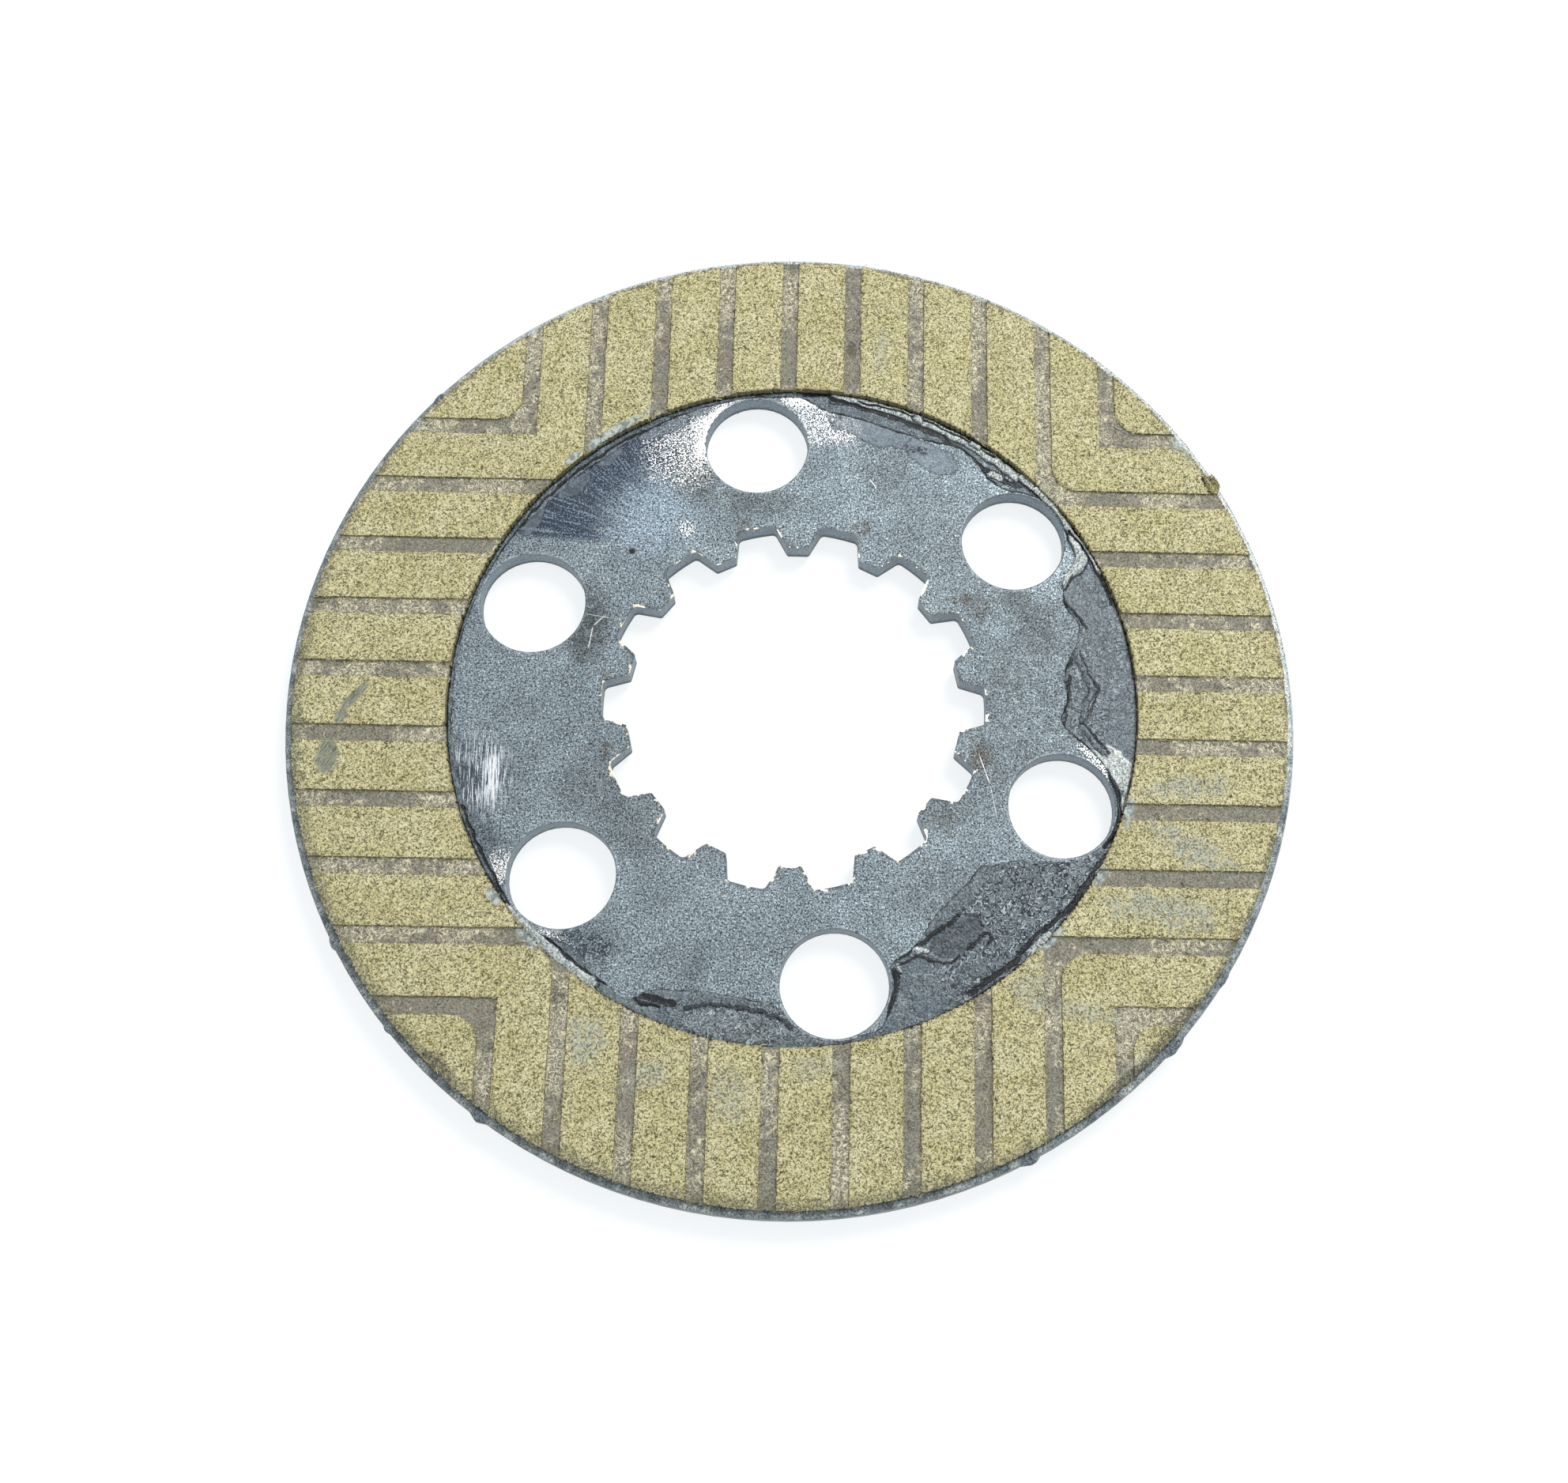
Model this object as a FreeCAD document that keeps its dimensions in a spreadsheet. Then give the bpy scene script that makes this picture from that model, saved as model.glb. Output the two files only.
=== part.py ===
import FreeCAD, Part
import math
import os
import Sketcher
from enum import IntEnum

# Friction disc of a wet brake, lying flat.
# Origin: centre of the spline, halfway through the steel plate. +Z is the disc's axis.
# A tooth of the spline points along +Y, and the grooves run along X and Y.
# The plate is faced on both sides with a paper lining, bonded by a thin film of adhesive.
# The plate's rim stands out past the linings, and the film covers it.

doc = FreeCAD.newDocument("brake_disc")

# Driving dimensions, in millimetres, degrees and counts.
SIZES = {
    "disc_diameter": 165.0,
    "plate_thickness": 3.8,
    "lining_thickness": 1.5,
    "lining_edge_inset": 1.3,
    "lining_hole_clearance": 1.0,
    "adhesive_thickness": 0.1,
    "adhesive_edge_gap": 0.25,
    "adhesive_hole_margin": 0.4,
    "tooth_count": 14,
    "tooth_tip_diameter": 55.0,
    "tooth_root_diameter": 63.2,
    "tooth_tip_width": 3.6,
    "tooth_base_width": 8.2,
    "tooth_seat": 1.0,
    "tooth_root_fillet": 0.9,
    "tooth_tip_fillet": 0.5,
    "hole_count": 6,
    "hole_diameter": 17.4,
    "hole_circle_diameter": 93.8,
    "first_hole_angle": 99.1,
    "hole_edge_break": 0.25,
    "groove_pitch": 11.0,
    "groove_width": 2.8,
    "groove_depth": 0.5,
    "groove_bend_radius": 4.5,
    "pattern_shift_x": 3.2,
    "pattern_shift_y": -1.35,
}

# The grooves fall into four alike quarters, each with this many L-shaped grooves.
QUARTERS = 4
GROOVES_PER_QUARTER = 5

# The free inner edge of each bonding film: the direction in degrees from +X, and how far
# the adhesive ran out from the lining's bore, in millimetres.
UPPER_FILM_EDGE = [
    (0, 12.0), (3, 11.5), (8, 11.7), (13, 8.9), (17, 6.8), (21, 8.0), (26, 7.4), (30, 2.4),
    (39, 0.8), (48, 4.0), (52, 4.6), (56, 3.0), (60, 2.7), (66, 4.0), (72, 4.4), (79, 3.9),
    (86, 3.4), (89, 1.2), (99, 0.6), (112, 1.0), (120, 1.6), (128, 2.0), (135, 1.8),
    (142, 1.8), (148, 1.0), (160, 0.6), (170, 0.6), (180, 0.8), (190, 0.9), (200, 1.0),
    (210, 1.5), (219, 0.6), (226, 1.5), (230, 3.6), (238, 1.8), (243, 1.4), (246, 4.4),
    (251, 6.3), (256, 7.2), (262, 7.4), (267, 7.0), (271, 4.5), (279, 0.8), (286, 1.3),
    (291, 10.6), (296, 11.5), (303, 14.4), (308, 15.1), (313, 15.5), (318, 15.8),
    (324, 12.3), (328, 7.7), (331, 3.6), (339, 0.7), (348, 4.0), (352, 7.6), (356, 12.6),
]
LOWER_FILM_EDGE = [
    (0, 1.2), (12, 3.0), (24, 4.2), (36, 2.4), (52, 1.0), (75, 1.4), (90, 2.6), (104, 1.6),
    (125, 0.9), (146, 3.0), (160, 4.4), (176, 2.8), (195, 1.0), (230, 0.9), (268, 1.4),
    (285, 3.4), (300, 2.2), (320, 0.9), (340, 1.0),
]
FILM_POINTS = 120

ORIGIN = FreeCAD.Vector(0, 0, 0)
AXIS = FreeCAD.Vector(0, 0, 1)
UPRIGHT = FreeCAD.Rotation()
UPSIDE_DOWN = FreeCAD.Rotation(FreeCAD.Vector(1, 0, 0), 180)
SKETCH_ORIGIN = (-1, 1)
SKETCH_X_AXIS = -1
SKETCH_Y_AXIS = -2
EDGE_TOLERANCE = 0.01


class Point(IntEnum):
    """The points of a sketch's line or arc, as a constraint numbers them."""

    START = 1
    END = 2
    CENTRE = 3


def make_sheet():
    """Put the driving dimensions in a spreadsheet, one aliased cell each."""
    sheet = doc.addObject("Spreadsheet::Sheet", "Sizes")
    for row, (alias, value) in enumerate(SIZES.items(), start=1):
        sheet.set(f"A{row}", alias)
        sheet.set(f"B{row}", str(value))
        sheet.setAlias(f"B{row}", alias)
    doc.recompute()
    return sheet


sheet = make_sheet()


def new_body(name):
    body = doc.addObject("PartDesign::Body", name)
    body.Label = name
    return body


def origin_feature(body, role):
    """Find one of the body's own planes or axes by its role."""
    for feature in body.Origin.OriginFeatures:
        if feature.Role == role:
            return feature
    raise ValueError(role)


def new_sketch(body, name):
    """Start a sketch on the body's XY plane."""
    sketch = body.newObject("Sketcher::SketchObject", name)
    sketch.AttachmentSupport = [(origin_feature(body, "XY_Plane"), "")]
    sketch.MapMode = "FlatFace"
    return sketch


def constrain(sketch, kind, *where):
    return sketch.addConstraint(Sketcher.Constraint(kind, *where))


def dimension(sketch, name, expression, kind, *where):
    """Add a named dimension to a sketch and bind it to the spreadsheet."""
    index = constrain(sketch, kind, *where)
    sketch.renameConstraint(index, name)
    sketch.setExpression(f"Constraints.{name}", expression)


def place_point(sketch, name, expression, kind, *where):
    """Bind the distance of a point from the sketch's origin."""
    dimension(sketch, name, expression, kind, *SKETCH_ORIGIN, *where)


def add_circle(sketch, name, diameter, expression):
    """Draw a circle about the sketch's origin."""
    circle = sketch.addGeometry(Part.Circle(ORIGIN, AXIS, diameter / 2))
    constrain(sketch, "Coincident", circle, Point.CENTRE, *SKETCH_ORIGIN)
    dimension(sketch, name, expression, "Diameter", circle, diameter)


def add_outline(sketch, points):
    """Draw a closed outline of straight lines, joined end to start."""
    lines = []
    for here, there in zip(points, points[1:] + points[:1]):
        segment = Part.LineSegment(FreeCAD.Vector(*here, 0), FreeCAD.Vector(*there, 0))
        lines.append(sketch.addGeometry(segment))
    for line, after in zip(lines, lines[1:] + lines[:1]):
        constrain(sketch, "Coincident", line, Point.END, after, Point.START)
    return lines


def polar_copies(body, name, feature, axis, count_expression):
    """Repeat a feature evenly round an axis and make the pattern the body's tip."""
    pattern = body.newObject("PartDesign::PolarPattern", name)
    pattern.Originals = [feature]
    pattern.Axis = axis
    pattern.Angle = 360
    pattern.setExpression("Occurrences", count_expression)
    body.Tip = pattern
    doc.recompute()
    return pattern


def round_edges(body, name, base, edges, radius_expression):
    """Round the named edges of the last feature."""
    fillet = body.newObject("PartDesign::Fillet", name)
    fillet.Base = (base, edges)
    fillet.setExpression("Radius", radius_expression)
    body.Tip = fillet
    doc.recompute()
    return fillet


def upright_edges(shape, radius):
    """Name the edges that run along the axis at this distance from it."""
    found = []
    for number, edge in enumerate(shape.Edges, start=1):
        if len(edge.Vertexes) != 2:
            continue
        low, high = (vertex.Point for vertex in edge.Vertexes)
        along_axis = math.hypot(low.x - high.x, low.y - high.y) < EDGE_TOLERANCE
        if along_axis and abs(math.hypot(low.x, low.y) - radius) < EDGE_TOLERANCE:
            found.append(f"Edge{number}")
    return found


def round_edges_of_radius(shape, radius):
    """Name the circular edges of this radius."""
    found = []
    for number, edge in enumerate(shape.Edges, start=1):
        is_circle = isinstance(edge.Curve, Part.Circle)
        if is_circle and abs(edge.Curve.Radius - radius) < EDGE_TOLERANCE:
            found.append(f"Edge{number}")
    return found


def make_blank(body):
    """A flat ring, bored to the roots of the spline."""
    sketch = new_sketch(body, "plate_outline")
    add_circle(sketch, "disc_diameter", sheet.disc_diameter, "Sizes.disc_diameter")
    add_circle(sketch, "root_diameter", sheet.tooth_root_diameter, "Sizes.tooth_root_diameter")
    pad = body.newObject("PartDesign::Pad", "plate_blank")
    pad.Profile = sketch
    pad.SideType = "Symmetric"
    pad.setExpression("Length", "Sizes.plate_thickness")
    doc.recompute()


def make_teeth(body):
    """Inward teeth with straight flanks, rounded at their roots and tips."""
    tip = sheet.tooth_tip_diameter / 2
    root = sheet.tooth_root_diameter / 2
    back = root + sheet.tooth_seat
    half_tip = sheet.tooth_tip_width / 2
    half_base = sheet.tooth_base_width / 2

    sketch = new_sketch(body, "tooth_outline")
    outline = [
        (-half_tip, tip),
        (half_tip, tip),
        (half_base, root),
        (half_base, back),
        (-half_base, back),
        (-half_base, root),
    ]
    tip_line, right_flank, right_side, back_line, left_side, left_flank = add_outline(sketch, outline)
    constrain(sketch, "Horizontal", back_line)
    constrain(sketch, "Vertical", right_side)
    constrain(sketch, "Vertical", left_side)
    constrain(sketch, "Symmetric", tip_line, Point.START, tip_line, Point.END, SKETCH_Y_AXIS)
    constrain(sketch, "Symmetric", left_flank, Point.START, right_flank, Point.END, SKETCH_Y_AXIS)
    tip_ends = (tip_line, Point.START, tip_line, Point.END)
    base_ends = (left_flank, Point.START, right_flank, Point.END)
    side_ends = (right_side, Point.START, right_side, Point.END)
    dimension(sketch, "tip_width", "Sizes.tooth_tip_width", "DistanceX", *tip_ends, 2 * half_tip)
    dimension(sketch, "base_width", "Sizes.tooth_base_width", "DistanceX", *base_ends, 2 * half_base)
    dimension(sketch, "seat", "Sizes.tooth_seat", "DistanceY", *side_ends, sheet.tooth_seat)
    tip_place = "Sizes.tooth_tip_diameter / 2"
    root_place = "Sizes.tooth_root_diameter / 2"
    place_point(sketch, "tip_place", tip_place, "DistanceY", tip_line, Point.START, tip)
    place_point(sketch, "root_place", root_place, "DistanceY", right_flank, Point.END, root)

    tooth = body.newObject("PartDesign::Pad", "tooth")
    tooth.Profile = sketch
    tooth.SideType = "Symmetric"
    tooth.setExpression("Length", "Sizes.plate_thickness")
    doc.recompute()

    axis = (origin_feature(body, "Z_Axis"), [""])
    teeth = polar_copies(body, "teeth", tooth, axis, "Sizes.tooth_count")
    root_edges = upright_edges(teeth.Shape, root)
    rooted = round_edges(body, "root_fillets", teeth, root_edges, "Sizes.tooth_root_fillet")
    tip_edges = upright_edges(rooted.Shape, math.hypot(tip, half_tip))
    round_edges(body, "tip_fillets", rooted, tip_edges, "Sizes.tooth_tip_fillet")


def make_holes(body):
    """Round holes on a circle, with their stamped edges broken."""
    sketch = new_sketch(body, "hole_outline")
    sketch.AttachmentOffset = FreeCAD.Placement(ORIGIN, FreeCAD.Rotation(AXIS, sheet.first_hole_angle))
    sketch.setExpression("AttachmentOffset.Rotation.Angle", "Sizes.first_hole_angle")
    place = sheet.hole_circle_diameter / 2
    centre = FreeCAD.Vector(place, 0, 0)
    circle = sketch.addGeometry(Part.Circle(centre, AXIS, sheet.hole_diameter / 2))
    constrain(sketch, "PointOnObject", circle, Point.CENTRE, SKETCH_X_AXIS)
    hole_place = "Sizes.hole_circle_diameter / 2"
    place_point(sketch, "hole_place", hole_place, "DistanceX", circle, Point.CENTRE, place)
    dimension(sketch, "hole_diameter", "Sizes.hole_diameter", "Diameter", circle, sheet.hole_diameter)

    hole = body.newObject("PartDesign::Pocket", "hole")
    hole.Profile = sketch
    hole.Type = "ThroughAll"
    hole.SideType = "Symmetric"
    doc.recompute()

    axis = (origin_feature(body, "Z_Axis"), [""])
    holes = polar_copies(body, "holes", hole, axis, "Sizes.hole_count")
    rims = round_edges_of_radius(holes.Shape, sheet.hole_diameter / 2)
    round_edges(body, "hole_rims", holes, rims, "Sizes.hole_edge_break")


def make_core_plate():
    body = new_body("core_plate")
    make_blank(body)
    make_teeth(body)
    make_holes(body)
    return body


def add_l_groove(sketch, step):
    """Draw one L-shaped groove, counted outwards from the pattern's centre.

    Its corner lies on the diagonal and points to the centre, its two arms run out past the
    disc's edge, and the land inside the L has a rounded corner.
    """
    width = sheet.groove_width
    bend = sheet.groove_bend_radius
    near = (step + 0.5) * sheet.groove_pitch - width / 2
    far = near + width
    out = sheet.disc_diameter / 2 + sheet.groove_pitch

    corner = FreeCAD.Vector(near, near, 0)
    right_near = FreeCAD.Vector(out, near, 0)
    right_far = FreeCAD.Vector(out, far, 0)
    bend_right = FreeCAD.Vector(far + bend, far, 0)
    bend_top = FreeCAD.Vector(far, far + bend, 0)
    top_far = FreeCAD.Vector(far, out, 0)
    top_near = FreeCAD.Vector(near, out, 0)
    bend_centre = FreeCAD.Vector(far + bend, far + bend, 0)

    right_outer = sketch.addGeometry(Part.LineSegment(corner, right_near))
    right_end = sketch.addGeometry(Part.LineSegment(right_near, right_far))
    right_inner = sketch.addGeometry(Part.LineSegment(right_far, bend_right))
    circle = Part.Circle(bend_centre, AXIS, bend)
    arc = sketch.addGeometry(Part.ArcOfCircle(circle, math.pi, 1.5 * math.pi))
    top_inner = sketch.addGeometry(Part.LineSegment(bend_top, top_far))
    top_end = sketch.addGeometry(Part.LineSegment(top_far, top_near))
    top_outer = sketch.addGeometry(Part.LineSegment(top_near, corner))

    constrain(sketch, "Coincident", right_outer, Point.END, right_end, Point.START)
    constrain(sketch, "Coincident", right_end, Point.END, right_inner, Point.START)
    constrain(sketch, "Tangent", right_inner, Point.END, arc, Point.END)
    constrain(sketch, "Tangent", arc, Point.START, top_inner, Point.START)
    constrain(sketch, "Coincident", top_inner, Point.END, top_end, Point.START)
    constrain(sketch, "Coincident", top_end, Point.END, top_outer, Point.START)
    constrain(sketch, "Coincident", top_outer, Point.END, right_outer, Point.START)
    for line in (right_outer, right_inner, top_end):
        constrain(sketch, "Horizontal", line)
    for line in (right_end, top_inner, top_outer):
        constrain(sketch, "Vertical", line)

    place = f"({step} + 0.5) * Sizes.groove_pitch - Sizes.groove_width / 2"
    reach = "Sizes.disc_diameter / 2 + Sizes.groove_pitch"
    tag = f"groove_{step + 1}"
    across_top = (top_end, Point.END, top_end, Point.START, width)
    across_right = (right_end, Point.START, right_end, Point.END, width)
    place_point(sketch, f"{tag}_x", place, "DistanceX", right_outer, Point.START, near)
    place_point(sketch, f"{tag}_y", place, "DistanceY", right_outer, Point.START, near)
    place_point(sketch, f"{tag}_end_x", reach, "DistanceX", right_end, Point.START, out)
    place_point(sketch, f"{tag}_end_y", reach, "DistanceY", top_end, Point.END, out)
    dimension(sketch, f"{tag}_width_x", "Sizes.groove_width", "DistanceX", *across_top)
    dimension(sketch, f"{tag}_width_y", "Sizes.groove_width", "DistanceY", *across_right)
    dimension(sketch, f"{tag}_bend", "Sizes.groove_bend_radius", "Radius", arc, bend)


def lining_bore_radius():
    """The lining's bore stands just clear of the plate's holes."""
    return (sheet.hole_circle_diameter + sheet.hole_diameter) / 2 + sheet.lining_hole_clearance


def make_lining(name, side):
    """A grooved paper ring. Its own frame stands on its bonded face; side is 1 or -1."""
    body = new_body(name)
    ring = new_sketch(body, f"{name}_outline")
    outer = "Sizes.disc_diameter - 2 * Sizes.lining_edge_inset"
    bore = "Sizes.hole_circle_diameter + Sizes.hole_diameter + 2 * Sizes.lining_hole_clearance"
    add_circle(ring, "outer_diameter", sheet.disc_diameter - 2 * sheet.lining_edge_inset, outer)
    add_circle(ring, "bore_diameter", 2 * lining_bore_radius(), bore)
    pad = body.newObject("PartDesign::Pad", f"{name}_ring")
    pad.Profile = ring
    pad.setExpression("Length", "Sizes.lining_thickness")
    doc.recompute()

    pattern = new_sketch(body, f"{name}_grooves")
    pattern.AttachmentOffset = FreeCAD.Placement(
        FreeCAD.Vector(sheet.pattern_shift_x, sheet.pattern_shift_y, sheet.lining_thickness),
        FreeCAD.Rotation(),
    )
    pattern.setExpression("AttachmentOffset.Base.x", "Sizes.pattern_shift_x")
    pattern.setExpression("AttachmentOffset.Base.y", "Sizes.pattern_shift_y")
    pattern.setExpression("AttachmentOffset.Base.z", "Sizes.lining_thickness")
    for step in range(GROOVES_PER_QUARTER):
        add_l_groove(pattern, step)
    doc.recompute()

    quarter = body.newObject("PartDesign::Pocket", f"{name}_quarter")
    quarter.Profile = pattern
    quarter.setExpression("Length", "Sizes.groove_depth")
    doc.recompute()
    polar_copies(body, f"{name}_quarters", quarter, (pattern, ["N_Axis"]), f"{QUARTERS}")

    body.Placement = FreeCAD.Placement(ORIGIN, UPRIGHT if side > 0 else UPSIDE_DOWN)
    height = f"{side} * (Sizes.plate_thickness / 2 + Sizes.adhesive_thickness)"
    body.setExpression("Placement.Base.z", height)
    doc.recompute()
    return body


def film_reach(angle, edge):
    """How far the dried edge stands inwards of the lining's bore in this direction."""
    first_angle, first_reach = edge[0]
    for here, there in zip(edge, edge[1:] + [(first_angle + 360, first_reach)]):
        if here[0] <= angle < there[0]:
            share = (angle - here[0]) / (there[0] - here[0])
            return here[1] + share * (there[1] - here[1])
    raise ValueError(angle)


def make_adhesive(name, edge, side):
    """A bonding film that covers the plate's rim and runs inwards to a free, wavy edge."""
    outer = sheet.disc_diameter / 2 - sheet.adhesive_edge_gap
    edge_points = []
    for number in range(FILM_POINTS):
        angle = 360 * number / FILM_POINTS
        radius = lining_bore_radius() - film_reach(angle, edge)
        turn = math.radians(angle)
        edge_points.append(FreeCAD.Vector(radius * math.cos(turn), radius * math.sin(turn), 0))
    curve = Part.BSplineCurve()
    curve.interpolate(Points=edge_points, PeriodicFlag=True)
    up = FreeCAD.Vector(0, 0, sheet.adhesive_thickness)
    film = Part.Face(Part.Wire(Part.Circle(ORIGIN, AXIS, outer).toShape())).extrude(up)
    film = film.cut(Part.Face(Part.Wire(curve.toShape())).extrude(up))

    hole_radius = sheet.hole_diameter / 2 + sheet.adhesive_hole_margin
    for number in range(int(sheet.hole_count)):
        turn = math.radians(side * (sheet.first_hole_angle + 360 * number / sheet.hole_count))
        place = FreeCAD.Vector(math.cos(turn), math.sin(turn), 0) * (sheet.hole_circle_diameter / 2)
        film = film.cut(Part.makeCylinder(hole_radius, sheet.adhesive_thickness, place, AXIS))

    feature = doc.addObject("Part::Feature", name)
    feature.Label = name
    feature.Shape = film
    base = FreeCAD.Vector(0, 0, side * sheet.plate_thickness / 2)
    feature.Placement = FreeCAD.Placement(base, UPRIGHT if side > 0 else UPSIDE_DOWN)
    return feature


def check(parts):
    """Stop if any object failed to compute or any sub-part has a bad shape."""
    for thing in doc.Objects:
        if "Invalid" in thing.State or "Error" in thing.State:
            raise RuntimeError(f"{thing.Name} is {thing.State}")
    for part in parts:
        if part.Shape.isNull() or not part.Shape.isValid():
            raise RuntimeError(f"{part.Label} has no valid shape")


def write(parts):
    os.makedirs("parts", exist_ok=True)
    for part in parts:
        part.Shape.exportStep(f"parts/{part.Label}.step")
        solids = len(part.Shape.Solids)
        print(f"{part.Label}: {solids} solid, {part.Shape.Volume:.1f} cubic mm")


parts = [
    make_core_plate(),
    make_lining("upper_lining", 1),
    make_lining("lower_lining", -1),
    make_adhesive("upper_adhesive", UPPER_FILM_EDGE, 1),
    make_adhesive("lower_adhesive", LOWER_FILM_EDGE, -1),
]
doc.recompute()
check(parts)
write(parts)
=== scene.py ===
# %% [markdown]
# # A friction disc of a wet brake
# The disc is a steel plate with a splined bore, faced on both sides with friction paper.
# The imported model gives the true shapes, and this lesson gives them their looks.
# We load it first, because every size below is worked out from it.

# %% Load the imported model
import math

import bmesh
import bpy
import numpy as np
from mathutils import Matrix, Vector, noise
from mathutils.bvhtree import BVHTree


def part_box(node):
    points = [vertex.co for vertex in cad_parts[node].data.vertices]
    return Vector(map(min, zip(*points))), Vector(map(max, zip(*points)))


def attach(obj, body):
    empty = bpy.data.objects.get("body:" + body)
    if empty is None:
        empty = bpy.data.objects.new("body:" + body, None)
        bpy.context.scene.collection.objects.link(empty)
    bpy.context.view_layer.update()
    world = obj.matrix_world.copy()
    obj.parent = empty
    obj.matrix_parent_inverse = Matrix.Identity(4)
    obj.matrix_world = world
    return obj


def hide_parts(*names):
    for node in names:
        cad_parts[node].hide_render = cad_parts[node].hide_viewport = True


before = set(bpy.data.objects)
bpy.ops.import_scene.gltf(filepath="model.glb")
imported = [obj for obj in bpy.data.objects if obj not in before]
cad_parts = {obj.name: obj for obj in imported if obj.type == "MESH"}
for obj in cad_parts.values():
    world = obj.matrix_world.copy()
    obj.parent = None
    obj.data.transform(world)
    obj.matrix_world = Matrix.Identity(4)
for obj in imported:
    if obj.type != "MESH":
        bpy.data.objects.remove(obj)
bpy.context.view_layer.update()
print("CAD nodes:", ", ".join(sorted(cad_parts)))

# %% [markdown]
# ## Sizes
# Blender works in metres, and the maker thinks in millimetres. Faces and radii are read from
# the model, so that a new model carries the looks with it. The groove rule and the spline are
# written down once more, because a mesh doesn't say them.

# %% Sizes in millimetres
MM = 0.001


def ring_radii(node):
    """The smallest and the largest distance from the axis in a node's mesh, in millimetres."""
    radii = [math.hypot(v.co.x, v.co.y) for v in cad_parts[node].data.vertices]
    return min(radii) / MM, max(radii) / MM


PLATE_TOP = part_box("core_plate")[1].z / MM
LINING_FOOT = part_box("upper_lining")[0].z / MM
LINING_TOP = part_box("upper_lining")[1].z / MM
LINING_THICKNESS = LINING_TOP - LINING_FOOT
FLOOR_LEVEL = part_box("lower_lining")[0].z / MM
LINING_BORE, LINING_RADIUS = ring_radii("upper_lining")
TOOTH_TIP, PLATE_RADIUS = ring_radii("core_plate")
TOOTH_ROOT = 31.6
TOOTH_COUNT = 14
TOOTH_TIP_HALF = 1.8
TOOTH_BASE_HALF = 4.1
HOLE_COUNT = 6
HOLE_RADIUS = 8.7
HOLE_CIRCLE = 46.9
FIRST_HOLE = math.radians(99.1)
GROOVE_PITCH = 11.0
GROOVE_WIDTH = 2.8
GROOVE_DEPTH = 0.5
GROOVE_BEND = 4.5
LAST_GROOVE = 4
PATTERN_CENTRE = (3.2, -1.35)
print(f"lining {LINING_BORE:.1f} to {LINING_RADIUS:.1f}, plate {TOOTH_TIP:.1f} to {PLATE_RADIUS:.1f} mm")

# %% [markdown]
# ## Node trees written as sums
# A shader and a geometry tree both hold maths. A small class wraps a socket and overloads the
# operators, so that `1 - mask` adds its Math node. Every other node comes from one method.

# %% A node tree that reads like arithmetic
RAY_REACH = 15
STROKE_TURNS = (8, 52, 97, 143)


class Value:
    """The output of a node, which can stand in a sum."""

    def __init__(self, tree, socket):
        self.tree = tree
        self.socket = socket

    def math(self, operation, *others):
        return self.tree.maths(operation, self, *others)

    def __add__(self, other):
        return self.tree.maths("ADD", self, other)

    def __radd__(self, other):
        return self.tree.maths("ADD", other, self)

    def __sub__(self, other):
        return self.tree.maths("SUBTRACT", self, other)

    def __rsub__(self, other):
        return self.tree.maths("SUBTRACT", other, self)

    def __mul__(self, other):
        return self.tree.maths("MULTIPLY", self, other)

    def __rmul__(self, other):
        return self.tree.maths("MULTIPLY", other, self)

    def __truediv__(self, other):
        return self.tree.maths("DIVIDE", self, other)

    def __rtruediv__(self, other):
        return self.tree.maths("DIVIDE", other, self)

    def __gt__(self, other):
        return self.tree.maths("GREATER_THAN", self, other)

    def __lt__(self, other):
        return self.tree.maths("LESS_THAN", self, other)

    def __abs__(self):
        return self.tree.maths("ABSOLUTE", self)

    def least(self, other):
        return self.tree.maths("MINIMUM", self, other)

    def most(self, other):
        return self.tree.maths("MAXIMUM", self, other)

    def rise(self, low, high):
        """0 below low, 1 above high and smooth between; low may be the larger one."""
        if low > high:
            return 1 - self.rise(high, low)
        places = {"Value": self, "From Min": low, "From Max": high}
        return self.tree.node("ShaderNodeMapRange", {"interpolation_type": "SMOOTHSTEP"}, places)


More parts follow.
